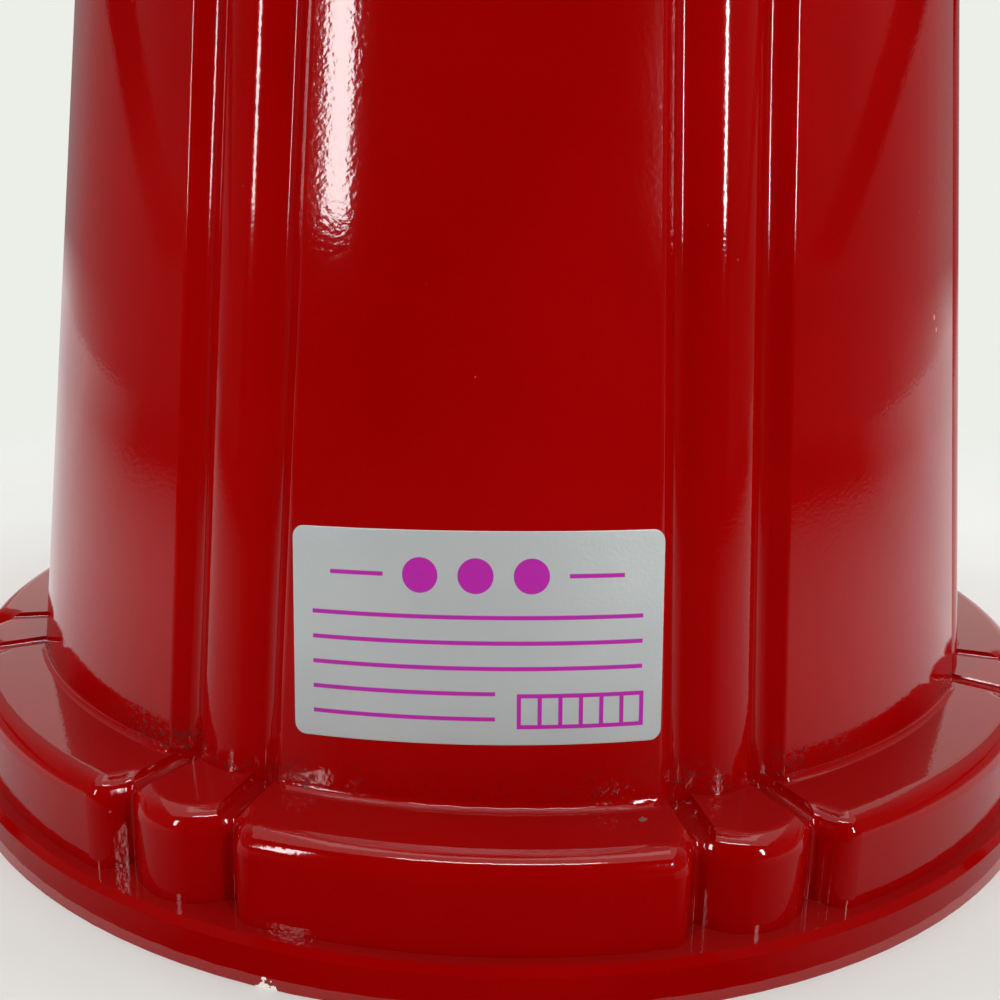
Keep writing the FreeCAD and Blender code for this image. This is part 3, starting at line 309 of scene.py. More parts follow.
@dataclass(frozen=True)
class Finish:
    """A surface finish: two colours that cloud into each other, gloss, and the depth of its ripple."""

    name: str
    light: Colour
    dark: Colour
    roughness: tuple[float, float]
    metallic: float = 0.0
    ior: float = 1.5
    transmission: float = 0.0
    ripple_scale: float = 600.0
    wave_scale: float = 90.0
    wave_share: float = 0.5
    ripple_depth: float = 0.0
    brushed: bool = False
    speck_size: float = 0.0
    speck_colour: Colour = (0.5, 0.3, 0.3)
    dust: float = 0.0
    dust_colour: Colour = (0.6, 0.58, 0.55)
    cloud_edge: tuple[float, float] = (0.35, 0.65)
    line_edge: tuple[float, float] = (0.3, 0.7)

    def build(self) -> bpy.types.Material:
        """Make the material.

        Returns:
            The material, with its shader and effects joined up.
        """
        material = bpy.data.materials.new(self.name)
        material.use_nodes = True
        graph = Graph(material.node_tree)
        shader = graph.find("BSDF_PRINCIPLED")
        for name, value in (("Metallic", self.metallic), ("IOR", self.ior),
                            ("Transmission Weight", self.transmission)):
            shader.inputs[name].default_value = value
        uneven = graph.add("ShaderNodeGroup", node_tree=EFFECTS.get(Effect.UNEVEN))
        for name, value in (("Ripple Scale", self.ripple_scale), ("Wave Scale", self.wave_scale),
                            ("Wave Share", self.wave_share)):
            uneven.inputs[name].default_value = value
        cloud = graph.add("ShaderNodeMix", data_type="RGBA")
        colour_a, colour_b = [s for s in cloud.inputs if s.type == "RGBA"]
        colour_a.default_value = (*self.dark, 1.0)
        colour_b.default_value = (*self.light, 1.0)
        colour_out = next(s for s in cloud.outputs if s.type == "RGBA")
        graph.join(graph.ramp(uneven.outputs["Cloud"], *self.cloud_edge, 0.0, 1.0), cloud.inputs["Factor"])
        gloss = graph.ramp(uneven.outputs["Cloud"], *self.cloud_edge, *self.roughness)
        if self.brushed:
            lines = graph.add("ShaderNodeGroup", node_tree=EFFECTS.get(Effect.BRUSHED))
            gloss = graph.ramp(lines.outputs["Lines"], *self.line_edge, *self.roughness)
        if self.speck_size or self.dust:
            colour_out, gloss = self.age(graph, colour_out, gloss)
        surface = self.extra(graph, Surface(colour_out, gloss, uneven.outputs["Height"]))
        graph.join(surface.colour, shader.inputs["Base Color"])
        graph.join(surface.gloss, shader.inputs["Roughness"])
        if self.ripple_depth:
            bump = graph.add("ShaderNodeBump", Strength=1.0, Distance=self.ripple_depth)
            graph.join(surface.height, bump.inputs["Height"])
            graph.join(bump.outputs["Normal"], shader.inputs["Normal"])
        return material

    def extra(self, graph: Graph, surface: Surface) -> Surface:
        """Return the surface with what this one finish adds to it, which is nothing by default."""
        return surface

    def age(self, graph: Graph, colour: bpy.types.NodeSocket,
            gloss: bpy.types.NodeSocket) -> tuple[bpy.types.NodeSocket, bpy.types.NodeSocket]:
        """Lay specks and dust over a colour and its gloss.

        Args:
            graph: Graph of the material.
            colour: Colour before.
            gloss: Roughness before.

        Returns:
            The colour and roughness after.
        """
        worn = graph.add("ShaderNodeGroup", node_tree=EFFECTS.get(Effect.WEAR))
        worn.inputs["Speck Size"].default_value = self.speck_size
        worn.inputs["Dust"].default_value = self.dust
        for output, tint in (("Specks", self.speck_colour), ("Film", self.dust_colour)):
            colour = graph.over(colour, worn.outputs[output], tint)
        rougher = graph.add("ShaderNodeMath", operation="ADD", use_clamp=True)
        graph.join(gloss, rougher.inputs[0])
        graph.join(worn.outputs["Film"], rougher.inputs[1])
        return colour, rougher.outputs[0]


@dataclass(frozen=True)
class CastingPaint(Finish):
    """Thick gloss paint, rough in the corner over the plinth and marked in places. Heights are in mm."""

    grain_low: float = 15.1
    grain_high: float = 19.5
    grain_scale: float = 1700.0
    grain_start: float = 0.4
    grain_full: float = 1.6
    grain_height: float = 2.0
    grain_gloss: float = 0.35
    grain_colour: Colour = (0.13, 0.002, 0.002)
    grain_edge: tuple[float, float] = (0.46, 0.66)
    patch_scale: float = 160.0
    patch_edge: tuple[float, float] = (0.42, 0.58)
    patch_least: float = 0.1
    column_edge: tuple[float, float] = (-0.2, 0.7)
    panel_grain: float = 0.22
    panel_count: int = 8
    marks: tuple[Mark, ...] = ()
    ragged_scale: float = 1500.0
    ragged_edge: tuple[float, float] = (0.3, 0.7)
    ragged_reach: tuple[float, float] = (0.4, 1.3)

    def extra(self, graph: Graph, surface: Surface) -> Surface:
        """Add the rough paint in the corner and the marks.

        Args:
            graph: Graph of the material.
            surface: Surface before.

        Returns:
            The surface after.
        """
        place = graph.add("ShaderNodeTexCoord").outputs["Object"]
        grain = self.grain(graph, place)
        colour = graph.over(surface.colour, grain, self.grain_colour)
        for mark in self.marks:
            colour = graph.over(colour, self.mark_mask(graph, place, mark), mark.colour)
        gloss = graph.math("MULTIPLY_ADD", grain, self.grain_gloss, surface.gloss)
        height = graph.math("MULTIPLY_ADD", grain, self.grain_height, surface.height)
        return Surface(colour, gloss, height)

    def grain(self, graph: Graph, place: bpy.types.NodeSocket) -> bpy.types.NodeSocket:
        """Return the mask of rough paint, which is strongest just over the plinth."""
        split = graph.add("ShaderNodeSeparateXYZ")
        graph.join(place, split.inputs[0])
        low, high = self.grain_low * MM, self.grain_high * MM
        rising = graph.ramp(split.outputs["Z"], low, low + self.grain_start * MM, 0.0, 1.0)
        falling = graph.ramp(split.outputs["Z"], low + self.grain_full * MM, high, 1.0, 0.0)
        speckle = graph.add("ShaderNodeTexNoise", Scale=self.grain_scale, Detail=2.0, Roughness=0.6)
        patch = graph.add("ShaderNodeTexNoise", Scale=self.patch_scale, Detail=1.0)
        for node in (speckle, patch):
            graph.join(place, node.inputs["Vector"])
        mask = graph.ramp(speckle.outputs["Fac"], *self.grain_edge, 0.0, 1.0)
        turn = graph.math("ARCTAN2", split.outputs["X"], split.outputs["Y"])
        swing = graph.math("COSINE", graph.math("MULTIPLY", turn, float(self.panel_count)))
        at_column = graph.ramp(swing, *self.column_edge, 1.0, self.panel_grain)
        patchy = graph.ramp(patch.outputs["Fac"], *self.patch_edge, self.patch_least, 1.0)
        for other in (rising, falling, at_column, patchy):
            mask = graph.math("MULTIPLY", mask, other)
        return mask

    def mark_mask(self, graph: Graph, place: bpy.types.NodeSocket, mark: Mark) -> bpy.types.NodeSocket:
        """Return the ragged mask of one mark."""
        away = graph.add("ShaderNodeVectorMath", operation="DISTANCE")
        away.inputs[1].default_value = Vector(mark.spot) * MM
        ragged = graph.add("ShaderNodeTexNoise", Scale=self.ragged_scale, Detail=2.0)
        graph.join(place, away.inputs[0])
        graph.join(place, ragged.inputs["Vector"])
        least, most = (share * mark.radius * MM for share in self.ragged_reach)
        edge = graph.ramp(ragged.outputs["Fac"], *self.ragged_edge, least, most)
        return graph.math("LESS_THAN", away.outputs["Value"], edge)


CHIP: Colour = (0.80, 0.74, 0.68)
SCRATCH: Colour = (0.62, 0.16, 0.12)
PIT: Colour = (0.16, 0.09, 0.08)
PAINT_MARKS = (
    Mark((18.6, 80.4, 0.2), 0.9, CHIP),
    Mark((17.7, 80.6, 0.1), 0.5, CHIP),
    Mark((-52.5, 39.7, 64.0), 0.35, SCRATCH),
    Mark((-53.1, 39.1, 62.6), 0.30, SCRATCH),
    Mark((-18.0, 71.6, 15.0), 0.45, PIT),
)

FINISHES: dict[Slot, Finish] = {
    Slot.RED_PAINT: CastingPaint(
        "thick_red_gloss", (0.280, 0.0001, 0.0002), (0.235, 0.0001, 0.0001), (0.04, 0.08), ior=1.45,
        ripple_scale=2000.0, wave_scale=60.0, wave_share=0.9, ripple_depth=0.000009,
        speck_size=0.035, speck_colour=(0.45, 0.10, 0.09), dust=0.01, marks=PAINT_MARKS),
    Slot.CHROME: Finish(
        "bright_plating", (0.80, 0.81, 0.83), (0.72, 0.73, 0.75), (0.05, 0.12), metallic=1.0,
        ripple_scale=300.0, ripple_depth=0.00001),
    Slot.STEEL: Finish(
        "zinc_steel", (0.56, 0.57, 0.60), (0.44, 0.45, 0.47), (0.22, 0.38), metallic=1.0, brushed=True),
    Slot.BLACK_PLASTIC: Finish(
        "black_moulding", (0.030, 0.030, 0.032), (0.020, 0.020, 0.022), (0.38, 0.5),
        ripple_scale=1500.0, ripple_depth=0.00003),
    Slot.WHITE_PLASTIC: Finish(
        "ivory_moulding", (0.78, 0.76, 0.70), (0.72, 0.70, 0.63), (0.26, 0.36),
        ripple_scale=200.0, ripple_depth=0.00002),
    Slot.BRASS: Finish(
        "turned_brass", (0.72, 0.52, 0.24), (0.60, 0.42, 0.18), (0.2, 0.34), metallic=1.0, brushed=True),
    Slot.RUBBER: Finish(
        "gasket_rubber", (0.035, 0.034, 0.033), (0.022, 0.021, 0.021), (0.65, 0.8),
        ripple_scale=1200.0, ripple_depth=0.00004),
    Slot.GLASS: Finish(
        "clear_glass", (0.97, 0.985, 0.98), (0.96, 0.98, 0.975), (0.0, 0.015), ior=1.5, transmission=1.0),
}
FOIL = Finish(
    "silver_foil", (0.69, 0.72, 0.72), (0.61, 0.64, 0.65), (0.32, 0.42), metallic=0.55,
    ripple_scale=2600.0, ripple_depth=0.000012)
INK = Finish("magenta_ink", (0.46, 0.010, 0.36), (0.40, 0.008, 0.31), (0.30, 0.38), metallic=0.2)
PALE_FLOOR = Finish("pale_floor", (0.74, 0.75, 0.725), (0.72, 0.73, 0.705), (0.7, 0.8))


@dataclass
class BaseShape:
    """Sizes of the cast base that the label follows, in millimetres."""

    foot_radius: float = 71.0
    foot_z: float = 16.5
    top_radius: float = 58.9
    top_z: float = 128.0
    label_z: float = 32.0

    def taper(self) -> float:
        """Return how much the radius shrinks for each millimetre up."""
        return (self.foot_radius - self.top_radius) / (self.top_z - self.foot_z)

    def radius(self, z: float) -> float:
        """Return the panels' radius at a height."""
        return self.foot_radius - self.taper() * (z - self.foot_z)

    def slant(self) -> float:
        """Return the distance from the label up the panel to the cone's tip."""
        return self.radius(self.label_z) / math.sin(math.atan(self.taper()))

    def point(self, along: float, z: float, lift: float) -> Vector:
        """Return a point on the back panel.

        Args:
            along: Distance round the panel from its middle, to the right as seen from behind.
            z: Height.
            lift: Distance out from the panel.

        Returns:
            The point, in metres.
        """
        reach = self.radius(z) + lift
        angle = along / self.radius(z)
        return Vector((-reach * math.sin(angle), reach * math.cos(angle), z)) * MM


@dataclass
class FoilLabel:
    """Thin foil label on the back panel: bare metal with plain printed rules and spots."""

    base: BaseShape
    middle: float = 0.55
    middle_z: float = 32.66
    width: float = 38.4
    height: float = 21.8
    tilt: float = 1.34
    corner: float = 1.2
    lift: float = 0.10
    rim_share: float = 0.7
    rim_inset: float = 0.06
    sharp_angle: float = 12.0
    corner_steps: int = 6
    sheet_rings: tuple[float, ...] = (0.2, 0.4, 0.6, 0.8)
    rule: float = 0.42
    spot_z: float = 6.4
    spot_step: float = 5.6
    spot_radius: float = 1.8
    spot_steps: int = 48
    heading_start: float = 9.4
    heading_end: float = 15.0
    ink_gap: float = 0.002
    ink_thickness: float = 0.01
    ink_step: float = 1.2
    rule_left: float = -17.0
    rules: tuple[Spot, ...] = ((2.2, 17.0), (-0.4, 17.0), (-3.0, 17.0), (-5.6, 2.0), (-8.2, 2.0))
    box_left: float = 4.4
    box_right: float = 17.0
    box_low: float = -9.0
    box_height: float = 3.2
    box_count: int = 6

    def outline(self) -> list[Spot]:
        """Return the label's rounded outline as (along, height), counter-clockwise as seen from behind."""
        half_w, half_h = self.width / 2, self.height / 2
        points = []
        for turn, (sx, sy) in enumerate(((1, -1), (1, 1), (-1, 1), (-1, -1))):
            along, rise = sx * (half_w - self.corner), sy * (half_h - self.corner)
            for step in range(self.corner_steps + 1):
                angle = math.radians(-90 + 90 * turn + 90 * step / self.corner_steps)
                points.append((along + self.corner * math.cos(angle), rise + self.corner * math.sin(angle)))
        dense = []
        for index, (ax, ay) in enumerate(points):
            bx, by = points[(index + 1) % len(points)]
            pieces = max(1, int(math.hypot(bx - ax, by - ay)))
            dense += [(ax + (bx - ax) * k / pieces, ay + (by - ay) * k / pieces) for k in range(pieces)]
        return dense

    def place(self, spot: Spot, lift: float) -> Vector:
        """Return the point of the panel under a spot of the label.

        Args:
            spot: Place on the flat label, right and up from its middle.
            lift: Distance out from the panel.

        Returns:
            The point, in metres.
        """
        turn = math.radians(self.tilt)
        along = self.middle + spot[0] * math.cos(turn) - spot[1] * math.sin(turn)
        rise = self.middle_z + spot[0] * math.sin(turn) + spot[1] * math.cos(turn)
        return self.base.point(along, rise - along ** 2 / (2 * self.base.slant()), lift)

    def build(self) -> list[bpy.types.Object]:
        """Build the foil and its print, ride them on the base and dress them.

        Returns:
            The two pieces.
        """
        edge = self.outline()
        rim = [(0.0, 0.0), (0.0, self.rim_share * self.lift), (self.rim_inset, self.lift)]
        verts, faces = self.sheet(edge, rim)
        foil = link_mesh("foil_label", verts, faces)
        foil.data.materials.append(FOIL.build())
        print_verts: list = []
        print_faces: list = []
        for verts, faces in self.print_shapes():
            print_faces += [tuple(i + len(print_verts) for i in face) for face in faces]
            print_verts += verts
        ink = link_mesh("foil_label_print", print_verts, print_faces)
        ink.data.materials.append(INK.build())
        for piece in (foil, ink):
            piece.data.set_sharp_from_angle(angle=math.radians(self.sharp_angle))
            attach(piece, Body.BASE.value)
        return [foil, ink]

    def sheet(self, edge: list[Spot], levels: list[Spot]) -> MeshData:
        """Return a closed thin sheet that follows the panel.

        Args:
            edge: Outline on the flat label, counter-clockwise as seen from behind.
            levels: Inset and lift of each ring of its rim, from the panel out.

        Returns:
            Points in metres, and faces.
        """
        count = len(edge)
        mid_a = sum(a for a, _ in edge) / count
        mid_b = sum(b for _, b in edge) / count
        inner = [[(mid_a + (a - mid_a) * t, mid_b + (b - mid_b) * t) for a, b in edge]
                 for t in self.sheet_rings]
        rings = [(ring, levels[0][1]) for ring in inner]
        rings += [(self.drawn_in(edge, inset), lift) for inset, lift in levels]
        rings += [(ring, levels[-1][1]) for ring in reversed(inner)]
        verts = [self.place(spot, lift) for ring, lift in rings for spot in ring]
        verts += [self.place((mid_a, mid_b), levels[0][1]), self.place((mid_a, mid_b), levels[-1][1])]
        under, top = len(verts) - 2, len(verts) - 1
        last = (len(rings) - 1) * count
        faces: list[tuple[int, ...]] = []
        for index in range(count):
            after = (index + 1) % count
            faces.append((under, after, index))
            faces += [(level * count + index, level * count + after,
                       (level + 1) * count + after, (level + 1) * count + index)
                      for level in range(len(rings) - 1)]
            faces.append((last + index, last + after, top))
        return verts, faces

    def bar(self, left: float, right: float, low: float, high: float) -> MeshData:
        """Return a printed bar, stepped so that it follows the panel.

        Args:
            left: Its start, right of the label's middle.
            right: Its end.
            low: Its lower edge, up from the label's middle.
            high: Its upper edge.

        Returns:
            Points in metres, and faces.
        """
        steps = max(1, math.ceil((right - left) / self.ink_step))
        under, top = self.ink_lifts()
        verts = []
        for step in range(steps + 1):
            along = left + (right - left) * step / steps
            corners = ((low, under), (low, top), (high, top), (high, under))
            verts += [self.place((along, rise), lift) for rise, lift in corners]
        faces: list[tuple[int, ...]] = [(0, 1, 2, 3), tuple(4 * steps + k for k in (3, 2, 1, 0))]
        for step in range(steps):
            near, far = 4 * step, 4 * step + 4
            faces += [(near + k, far + k, far + (k + 1) % 4, near + (k + 1) % 4) for k in range(4)]
        return verts, faces

    def ink_lifts(self) -> tuple[float, float]:
        """Return the lifts of the print's underside and top."""
        under = self.lift + self.ink_gap
        return under, under + self.ink_thickness

    def disc(self, across: float) -> MeshData:
        """Return a round printed spot at a place across the label."""
        turns = [2 * math.pi * k / self.spot_steps for k in range(self.spot_steps)]
        radius = self.spot_radius
        edge = [(across + radius * math.cos(t), self.spot_z + radius * math.sin(t)) for t in turns]
        return self.sheet(edge, [(0.0, lift) for lift in self.ink_lifts()])

    def print_shapes(self) -> list[MeshData]:
        """Return the printed shapes: three spots between rules, ruled lines, and a row of empty boxes."""
        half = self.rule / 2
        shapes = [self.disc(a) for a in (-self.spot_step, 0.0, self.spot_step)]
        for side in (-1, 1):
            ends = sorted((side * self.heading_start, side * self.heading_end))
            shapes.append(self.bar(*ends, self.spot_z - half, self.spot_z + half))
        shapes += [self.bar(self.rule_left, end, z - half, z + half) for z, end in self.rules]
        low, high = self.box_low, self.box_low + self.box_height
        left, right = self.box_left - half, self.box_right + half
        shapes += [self.bar(left, right, z - half, z + half) for z in (low, high)]
        wide = (self.box_right - self.box_left) / self.box_count
        for k in range(self.box_count + 1):
            place = self.box_left + wide * k
            shapes.append(self.bar(place - half, place + half, low + half, high - half))
        return shapes

    @staticmethod
    def drawn_in(edge: list[Spot], inset: float) -> list[Spot]:
        """Return an outline drawn in a little towards the label's middle."""
        return [(a - math.copysign(min(inset, abs(a)), a), b - math.copysign(min(inset, abs(b)), b))
                for a, b in edge]


@dataclass
class SlottedScrews:
    """Slotted pan heads that stand for a group of plain CAD screws on the front."""

    name: str
    node: str
    places: list[Spot]
    face_y: float
    radius: float
    height: float
    slot_half: float = 0.45
    slot_depth: float = 0.7
    slot_round: float = 0.12
    rim_share: float = 0.35
    dome_power: int = 3
    first_turn: float = 25.0
    turn_step: float = 67.0
    rings: int = 16
    spokes: int = 64

    def head(self, x: float, z: float, turn: float, verts: list, faces: list) -> None:
        """Add one head to the mesh.

        Args:
            x: Place across the front.
            z: Height of its centre.
            turn: Angle of the slot, in degrees.
            verts: Points to add to.
            faces: Faces to add to.
        """
        start = len(verts)
        profile = [(1.0, 0.0), (1.0, self.rim_share)]
        for ring in range(1, self.rings):
            share = 1.0 - ring / self.rings
            dome = (1.0 - self.rim_share) * math.sqrt(1.0 - share ** self.dome_power)
            profile.append((share, self.rim_share + dome))
        for share, rise in profile:
            for spoke in range(self.spokes):
                angle = 2 * math.pi * spoke / self.spokes
                spot = (share * self.radius * math.cos(angle), share * self.radius * math.sin(angle))
                out = self.face_y + self.rise(spot, rise, turn)
                verts.append(Vector((x + spot[0], -out, z + spot[1])) * MM)
        seat, tip = len(verts), len(verts) + 1
        verts.append(Vector((x, -self.face_y, z)) * MM)
        verts.append(Vector((x, -(self.face_y + self.rise((0.0, 0.0), 1.0, turn)), z)) * MM)
        last = start + (len(profile) - 1) * self.spokes
        for spoke in range(self.spokes):
            after = (spoke + 1) % self.spokes
            faces.append((seat, start + after, start + spoke))
            faces += [(start + level * self.spokes + spoke, start + level * self.spokes + after,
                       start + (level + 1) * self.spokes + after, start + (level + 1) * self.spokes + spoke)
                      for level in range(len(profile) - 1)]
            faces.append((last + spoke, last + after, tip))

    def rise(self, spot: Spot, share: float, turn: float) -> float:
        """Return the height of a head over its seat, with the slot cut in.

        Args:
            spot: Place on the head, from its centre.
            share: Height of the uncut head there, as a share of the whole.
            turn: Angle of the slot, in degrees.

        Returns:
            The height.
        """
        angle = math.radians(turn)
        across = abs(spot[1] * math.cos(angle) - spot[0] * math.sin(angle))
        cut = max(0.0, min(1.0, (self.slot_half + self.slot_round - across) / self.slot_round))
        high = share * self.height
        return high - cut * max(0.0, high - (self.height - self.slot_depth))

    def build(self, material: bpy.types.Material) -> bpy.types.Object:
        """Build all the heads as one piece in place of the CAD node.

        Args:
            material: Finish of the screws.

        Returns:
            The piece.
        """
        verts: list = []
        faces: list = []
        for index, (x, z) in enumerate(self.places):
            self.head(x, z, self.first_turn + self.turn_step * index, verts, faces)
        made = link_mesh(self.name, verts, faces)
        made.data.materials.append(material)
        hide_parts(self.node)
        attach(made, Body.BASE.value)
        return made


class Shade(Enum):
    """How a card's brightness changes over it."""

    BLACK = "black"
    SIDE = "side"
    ROUND = "round"


@dataclass(frozen=True)
class Lamp:
    """A soft lamp that faces the base: angles in degrees, sizes in metres, power in watts."""

    name: str
    azimuth: float
    elevation: float
    away: float
    size: tuple[float, float]
    power: float
    mirrored: bool = True
    aim_z: float = 0.07

    def build(self) -> None:
        """Add the lamp, its azimuth counted from the back, +Y, towards +X."""
        data = bpy.data.lights.new(self.name, "AREA")
        data.shape = "RECTANGLE"
        data.size, data.size_y = self.size
        data.energy = self.power
        made = bpy.data.objects.new(self.name, data)
        a, e = math.radians(self.azimuth), math.radians(self.elevation)
        way = Vector((math.sin(a) * math.cos(e), math.cos(a) * math.cos(e), math.sin(e)))
        made.location = Vector((0, 0, self.aim_z)) + way * self.away
        made.rotation_mode = "QUATERNION"
        made.rotation_quaternion = way.to_track_quat("Z", "Y")
        made.visible_glossy = self.mirrored
        made.visible_camera = False
        made.visible_transmission = False
        bpy.context.scene.collection.objects.link(made)


LAMPS = (
    Lamp("left_lamp", 36.0, 22.0, 1.2, (0.088, 0.42), 2.6),
    Lamp("right_lamp", -37.0, 22.0, 1.2, (0.08, 0.42), 4.4),
    Lamp("ceiling_tube", -3.0, 62.0, 1.4, (0.75, 0.05), 4.0),
    Lamp("top_lamp", 180.0, 75.0, 1.5, (1.2, 1.2), 7.0),
    Lamp("left_fill", 100.0, 10.0, 1.4, (1.0, 0.8), 9.5, mirrored=False),
    Lamp("right_fill", -100.0, 10.0, 1.4, (1.0, 0.8), 9.5, mirrored=False),
)


@dataclass
class Studio:
    """Pale floor and backdrop, cards that only reflections see, lamps and the camera.

    Sizes of the room are in metres and angles in degrees. Turns are counted from the back, +Y.
    """

    pale: Colour = (0.84, 0.855, 0.81)
    black: float = 0.002
    ambient: tuple[float, float] = (0.8, 0.3)
    floor_half: float = 4.0
    floor_gloss: float = 0.1
    fade_start: float = 0.12
    fade_end: float = 0.34
    back_y: float = 1.4
    back_half: float = 2.4
    back_top: float = 2.6
    sheen_radii: tuple[float, float] = (0.083, 2.4)
    sheen_z: float = 0.0008
    sheen_steps: int = 96
    sheen_most: float = 0.92
    sheen_turn: tuple[float, float] = (20.0, 100.0)
    sheen_reach: tuple[float, float] = (0.2, 0.65)
    sheen_loss: float = 0.97
    front_turn: tuple[float, float] = (88.0, 115.0)
    front_loss: float = 0.12
    side_x: float = 1.3
    side_y: tuple[float, float] = (-1.8, 1.2)
    side_z: tuple[float, float] = (0.02, 1.6)
    side_fade: tuple[float, float] = (0.1, -1.0)
    side_light: tuple[float, float] = (0.05, 0.27)
    glow_fade: tuple[float, float] = (-0.2, -1.2)
    glow_most: float = 0.6
    glow_top: float = 0.14
    seam_share: float = 0.99
    left_seam: tuple[Spot, ...] = ((-0.70, 0.53), (-0.30, 0.53), (0.33, 0.22), (0.12, 0.20))
    right_seam: tuple[Spot, ...] = ((-0.80, 0.55), (-0.38, 0.55), (0.36, 0.26), (0.16, 0.24))
    lens: float = 36.607
    sensor: float = 36.0
    clip: tuple[float, float] = (0.01, 50.0)
    shift_y: float = -0.0206
    eye_mm: tuple[float, float, float] = (-7.37, 164.77, 70.86)
    right: tuple[float, float, float] = (-0.99826, -0.05451, 0.02258)
    up: tuple[float, float, float] = (0.03406, -0.22002, 0.97490)
    back: tuple[float, float, float] = (-0.04817, 0.97397, 0.22149)

    def camera(self) -> None:
        """Place the camera where the photograph was taken from."""
        data = bpy.data.cameras.new("photo_camera")
        data.lens = self.lens
        data.sensor_width = self.sensor
        data.sensor_fit = "HORIZONTAL"
        data.shift_y = self.shift_y
        data.clip_start, data.clip_end = self.clip
        made = bpy.data.objects.new("photo_camera", data)
        axes = Matrix((self.right, self.up, self.back)).transposed().to_4x4()
        made.matrix_world = Matrix.Translation(Vector(self.eye_mm) * MM) @ axes
        bpy.context.scene.collection.objects.link(made)
        bpy.context.scene.camera = made

    def world(self) -> None:
        """Pale surroundings for the eye, and soft light from the front for everything else."""
        world = bpy.data.worlds.new("studio")
        bpy.context.scene.world = world
        world.use_nodes = True
        graph = Graph(world.node_tree)
        graph.tree.nodes.clear()
        seen = graph.add("ShaderNodeBackground", Strength=1.0)
        seen.inputs["Color"].default_value = (*self.pale, 1.0)
        light = graph.add("ShaderNodeBackground", Strength=1.0)
        way = graph.add("ShaderNodeSeparateXYZ")
        graph.join(graph.add("ShaderNodeTexCoord").outputs["Generated"], way.inputs[0])
        graph.join(graph.ramp(way.outputs["Y"], -1.0, 1.0, *self.ambient), light.inputs["Color"])
        path = graph.add("ShaderNodeLightPath")
        mix = graph.add("ShaderNodeMixShader")
        sink = graph.add("ShaderNodeOutputWorld")
        graph.join(self.seen_rays(graph, path), mix.inputs[0])
        graph.join(light.outputs[0], mix.inputs[1])
        graph.join(seen.outputs[0], mix.inputs[2])
        graph.join(mix.outputs[0], sink.inputs["Surface"])

    def floor(self) -> None:
        """Lay a pale floor that takes the shadow."""
        half = self.floor_half
        corners = [(-half, -half, 0), (half, -half, 0), (half, half, 0), (-half, half, 0)]
        made = link_mesh("studio_floor", corners, [(0, 1, 2, 3)], smooth=False)
        made.data.materials.append(self.floor_material())

    def floor_material(self) -> bpy.types.Material:
        """Return the floor's finish, which fades into the pale surroundings away from the machine."""
        material = PALE_FLOOR.build()
        graph = Graph(material.node_tree)
        shader = graph.find("BSDF_PRINCIPLED")
        sink = graph.find("OUTPUT_MATERIAL")
        shader.inputs["Specular IOR Level"].default_value = self.floor_gloss
        place = graph.add("ShaderNodeTexCoord")
        reach = graph.add("ShaderNodeVectorMath", operation="LENGTH")
        graph.join(place.outputs["Object"], reach.inputs[0])
        far = graph.ramp(reach.outputs["Value"], self.fade_start, self.fade_end, 0.0, 1.0)
        path = graph.add("ShaderNodeLightPath")
        pale = graph.add("ShaderNodeEmission", Strength=1.0)
        pale.inputs["Color"].default_value = (*self.pale, 1.0)
        mix = graph.add("ShaderNodeMixShader")
        graph.join(graph.math("MULTIPLY", far, self.seen_rays(graph, path)), mix.inputs[0])
        graph.join(shader.outputs[0], mix.inputs[1])
        graph.join(pale.outputs[0], mix.inputs[2])
        graph.join(mix.outputs[0], sink.inputs["Surface"])
        return material

    @staticmethod
    def seen_rays(graph: Graph, path: bpy.types.Node) -> bpy.types.NodeSocket:
        """Return a mask of the rays that see the background, directly, by reflection or through glass."""
        either = graph.math("MAXIMUM", path.outputs["Is Camera Ray"], path.outputs["Is Glossy Ray"])
        return graph.math("MAXIMUM", either, path.outputs["Is Transmission Ray"])

    def card(self, name: str, verts: list, faces: list, shade: Shade) -> None:
        """Set up a card that only reflections see.

        Args:
            name: Name of the card.
            verts: Its points, in metres.
            faces: Its faces.
            shade: How bright it looks in a reflection.
        """
        made = link_mesh(name, verts, faces, smooth=False)
        material = bpy.data.materials.new(name)
        material.use_nodes = True
        graph = Graph(material.node_tree)
        shader = graph.find("BSDF_PRINCIPLED")
        shader.inputs["Base Color"].default_value = (0.0, 0.0, 0.0, 1.0)
        shader.inputs["Specular IOR Level"].default_value = 0.0
        shader.inputs["Emission Strength"].default_value = 1.0
        shader.inputs["Emission Color"].default_value = (self.black, self.black, self.black, 1.0)
        if shade is not Shade.BLACK:
            place = graph.add("ShaderNodeSeparateXYZ")
            graph.join(graph.add("ShaderNodeTexCoord").outputs["Object"], place.inputs[0])
            makers = {Shade.SIDE: self.side_shade, Shade.ROUND: self.round_shade}
            graph.join(makers[shade](graph, place), shader.inputs["Emission Color"])
        made.data.materials.append(material)
        made.visible_camera = False
        made.visible_diffuse = False
        made.visible_transmission = False
        made.visible_shadow = False

    def side_shade(self, graph: Graph, place: bpy.types.Node) -> bpy.types.NodeSocket:
        """Return the brightness of a side card, which is lighter to the front and at its foot."""
        even = graph.ramp(place.outputs["Y"], *self.side_fade, *self.side_light)
        glow = graph.ramp(place.outputs["Y"], *self.glow_fade, 0.0, self.glow_most)
        low = graph.ramp(place.outputs["Z"], self.side_z[0], self.glow_top, 1.0, 0.0)
        return graph.math("MULTIPLY_ADD", glow, low, even)

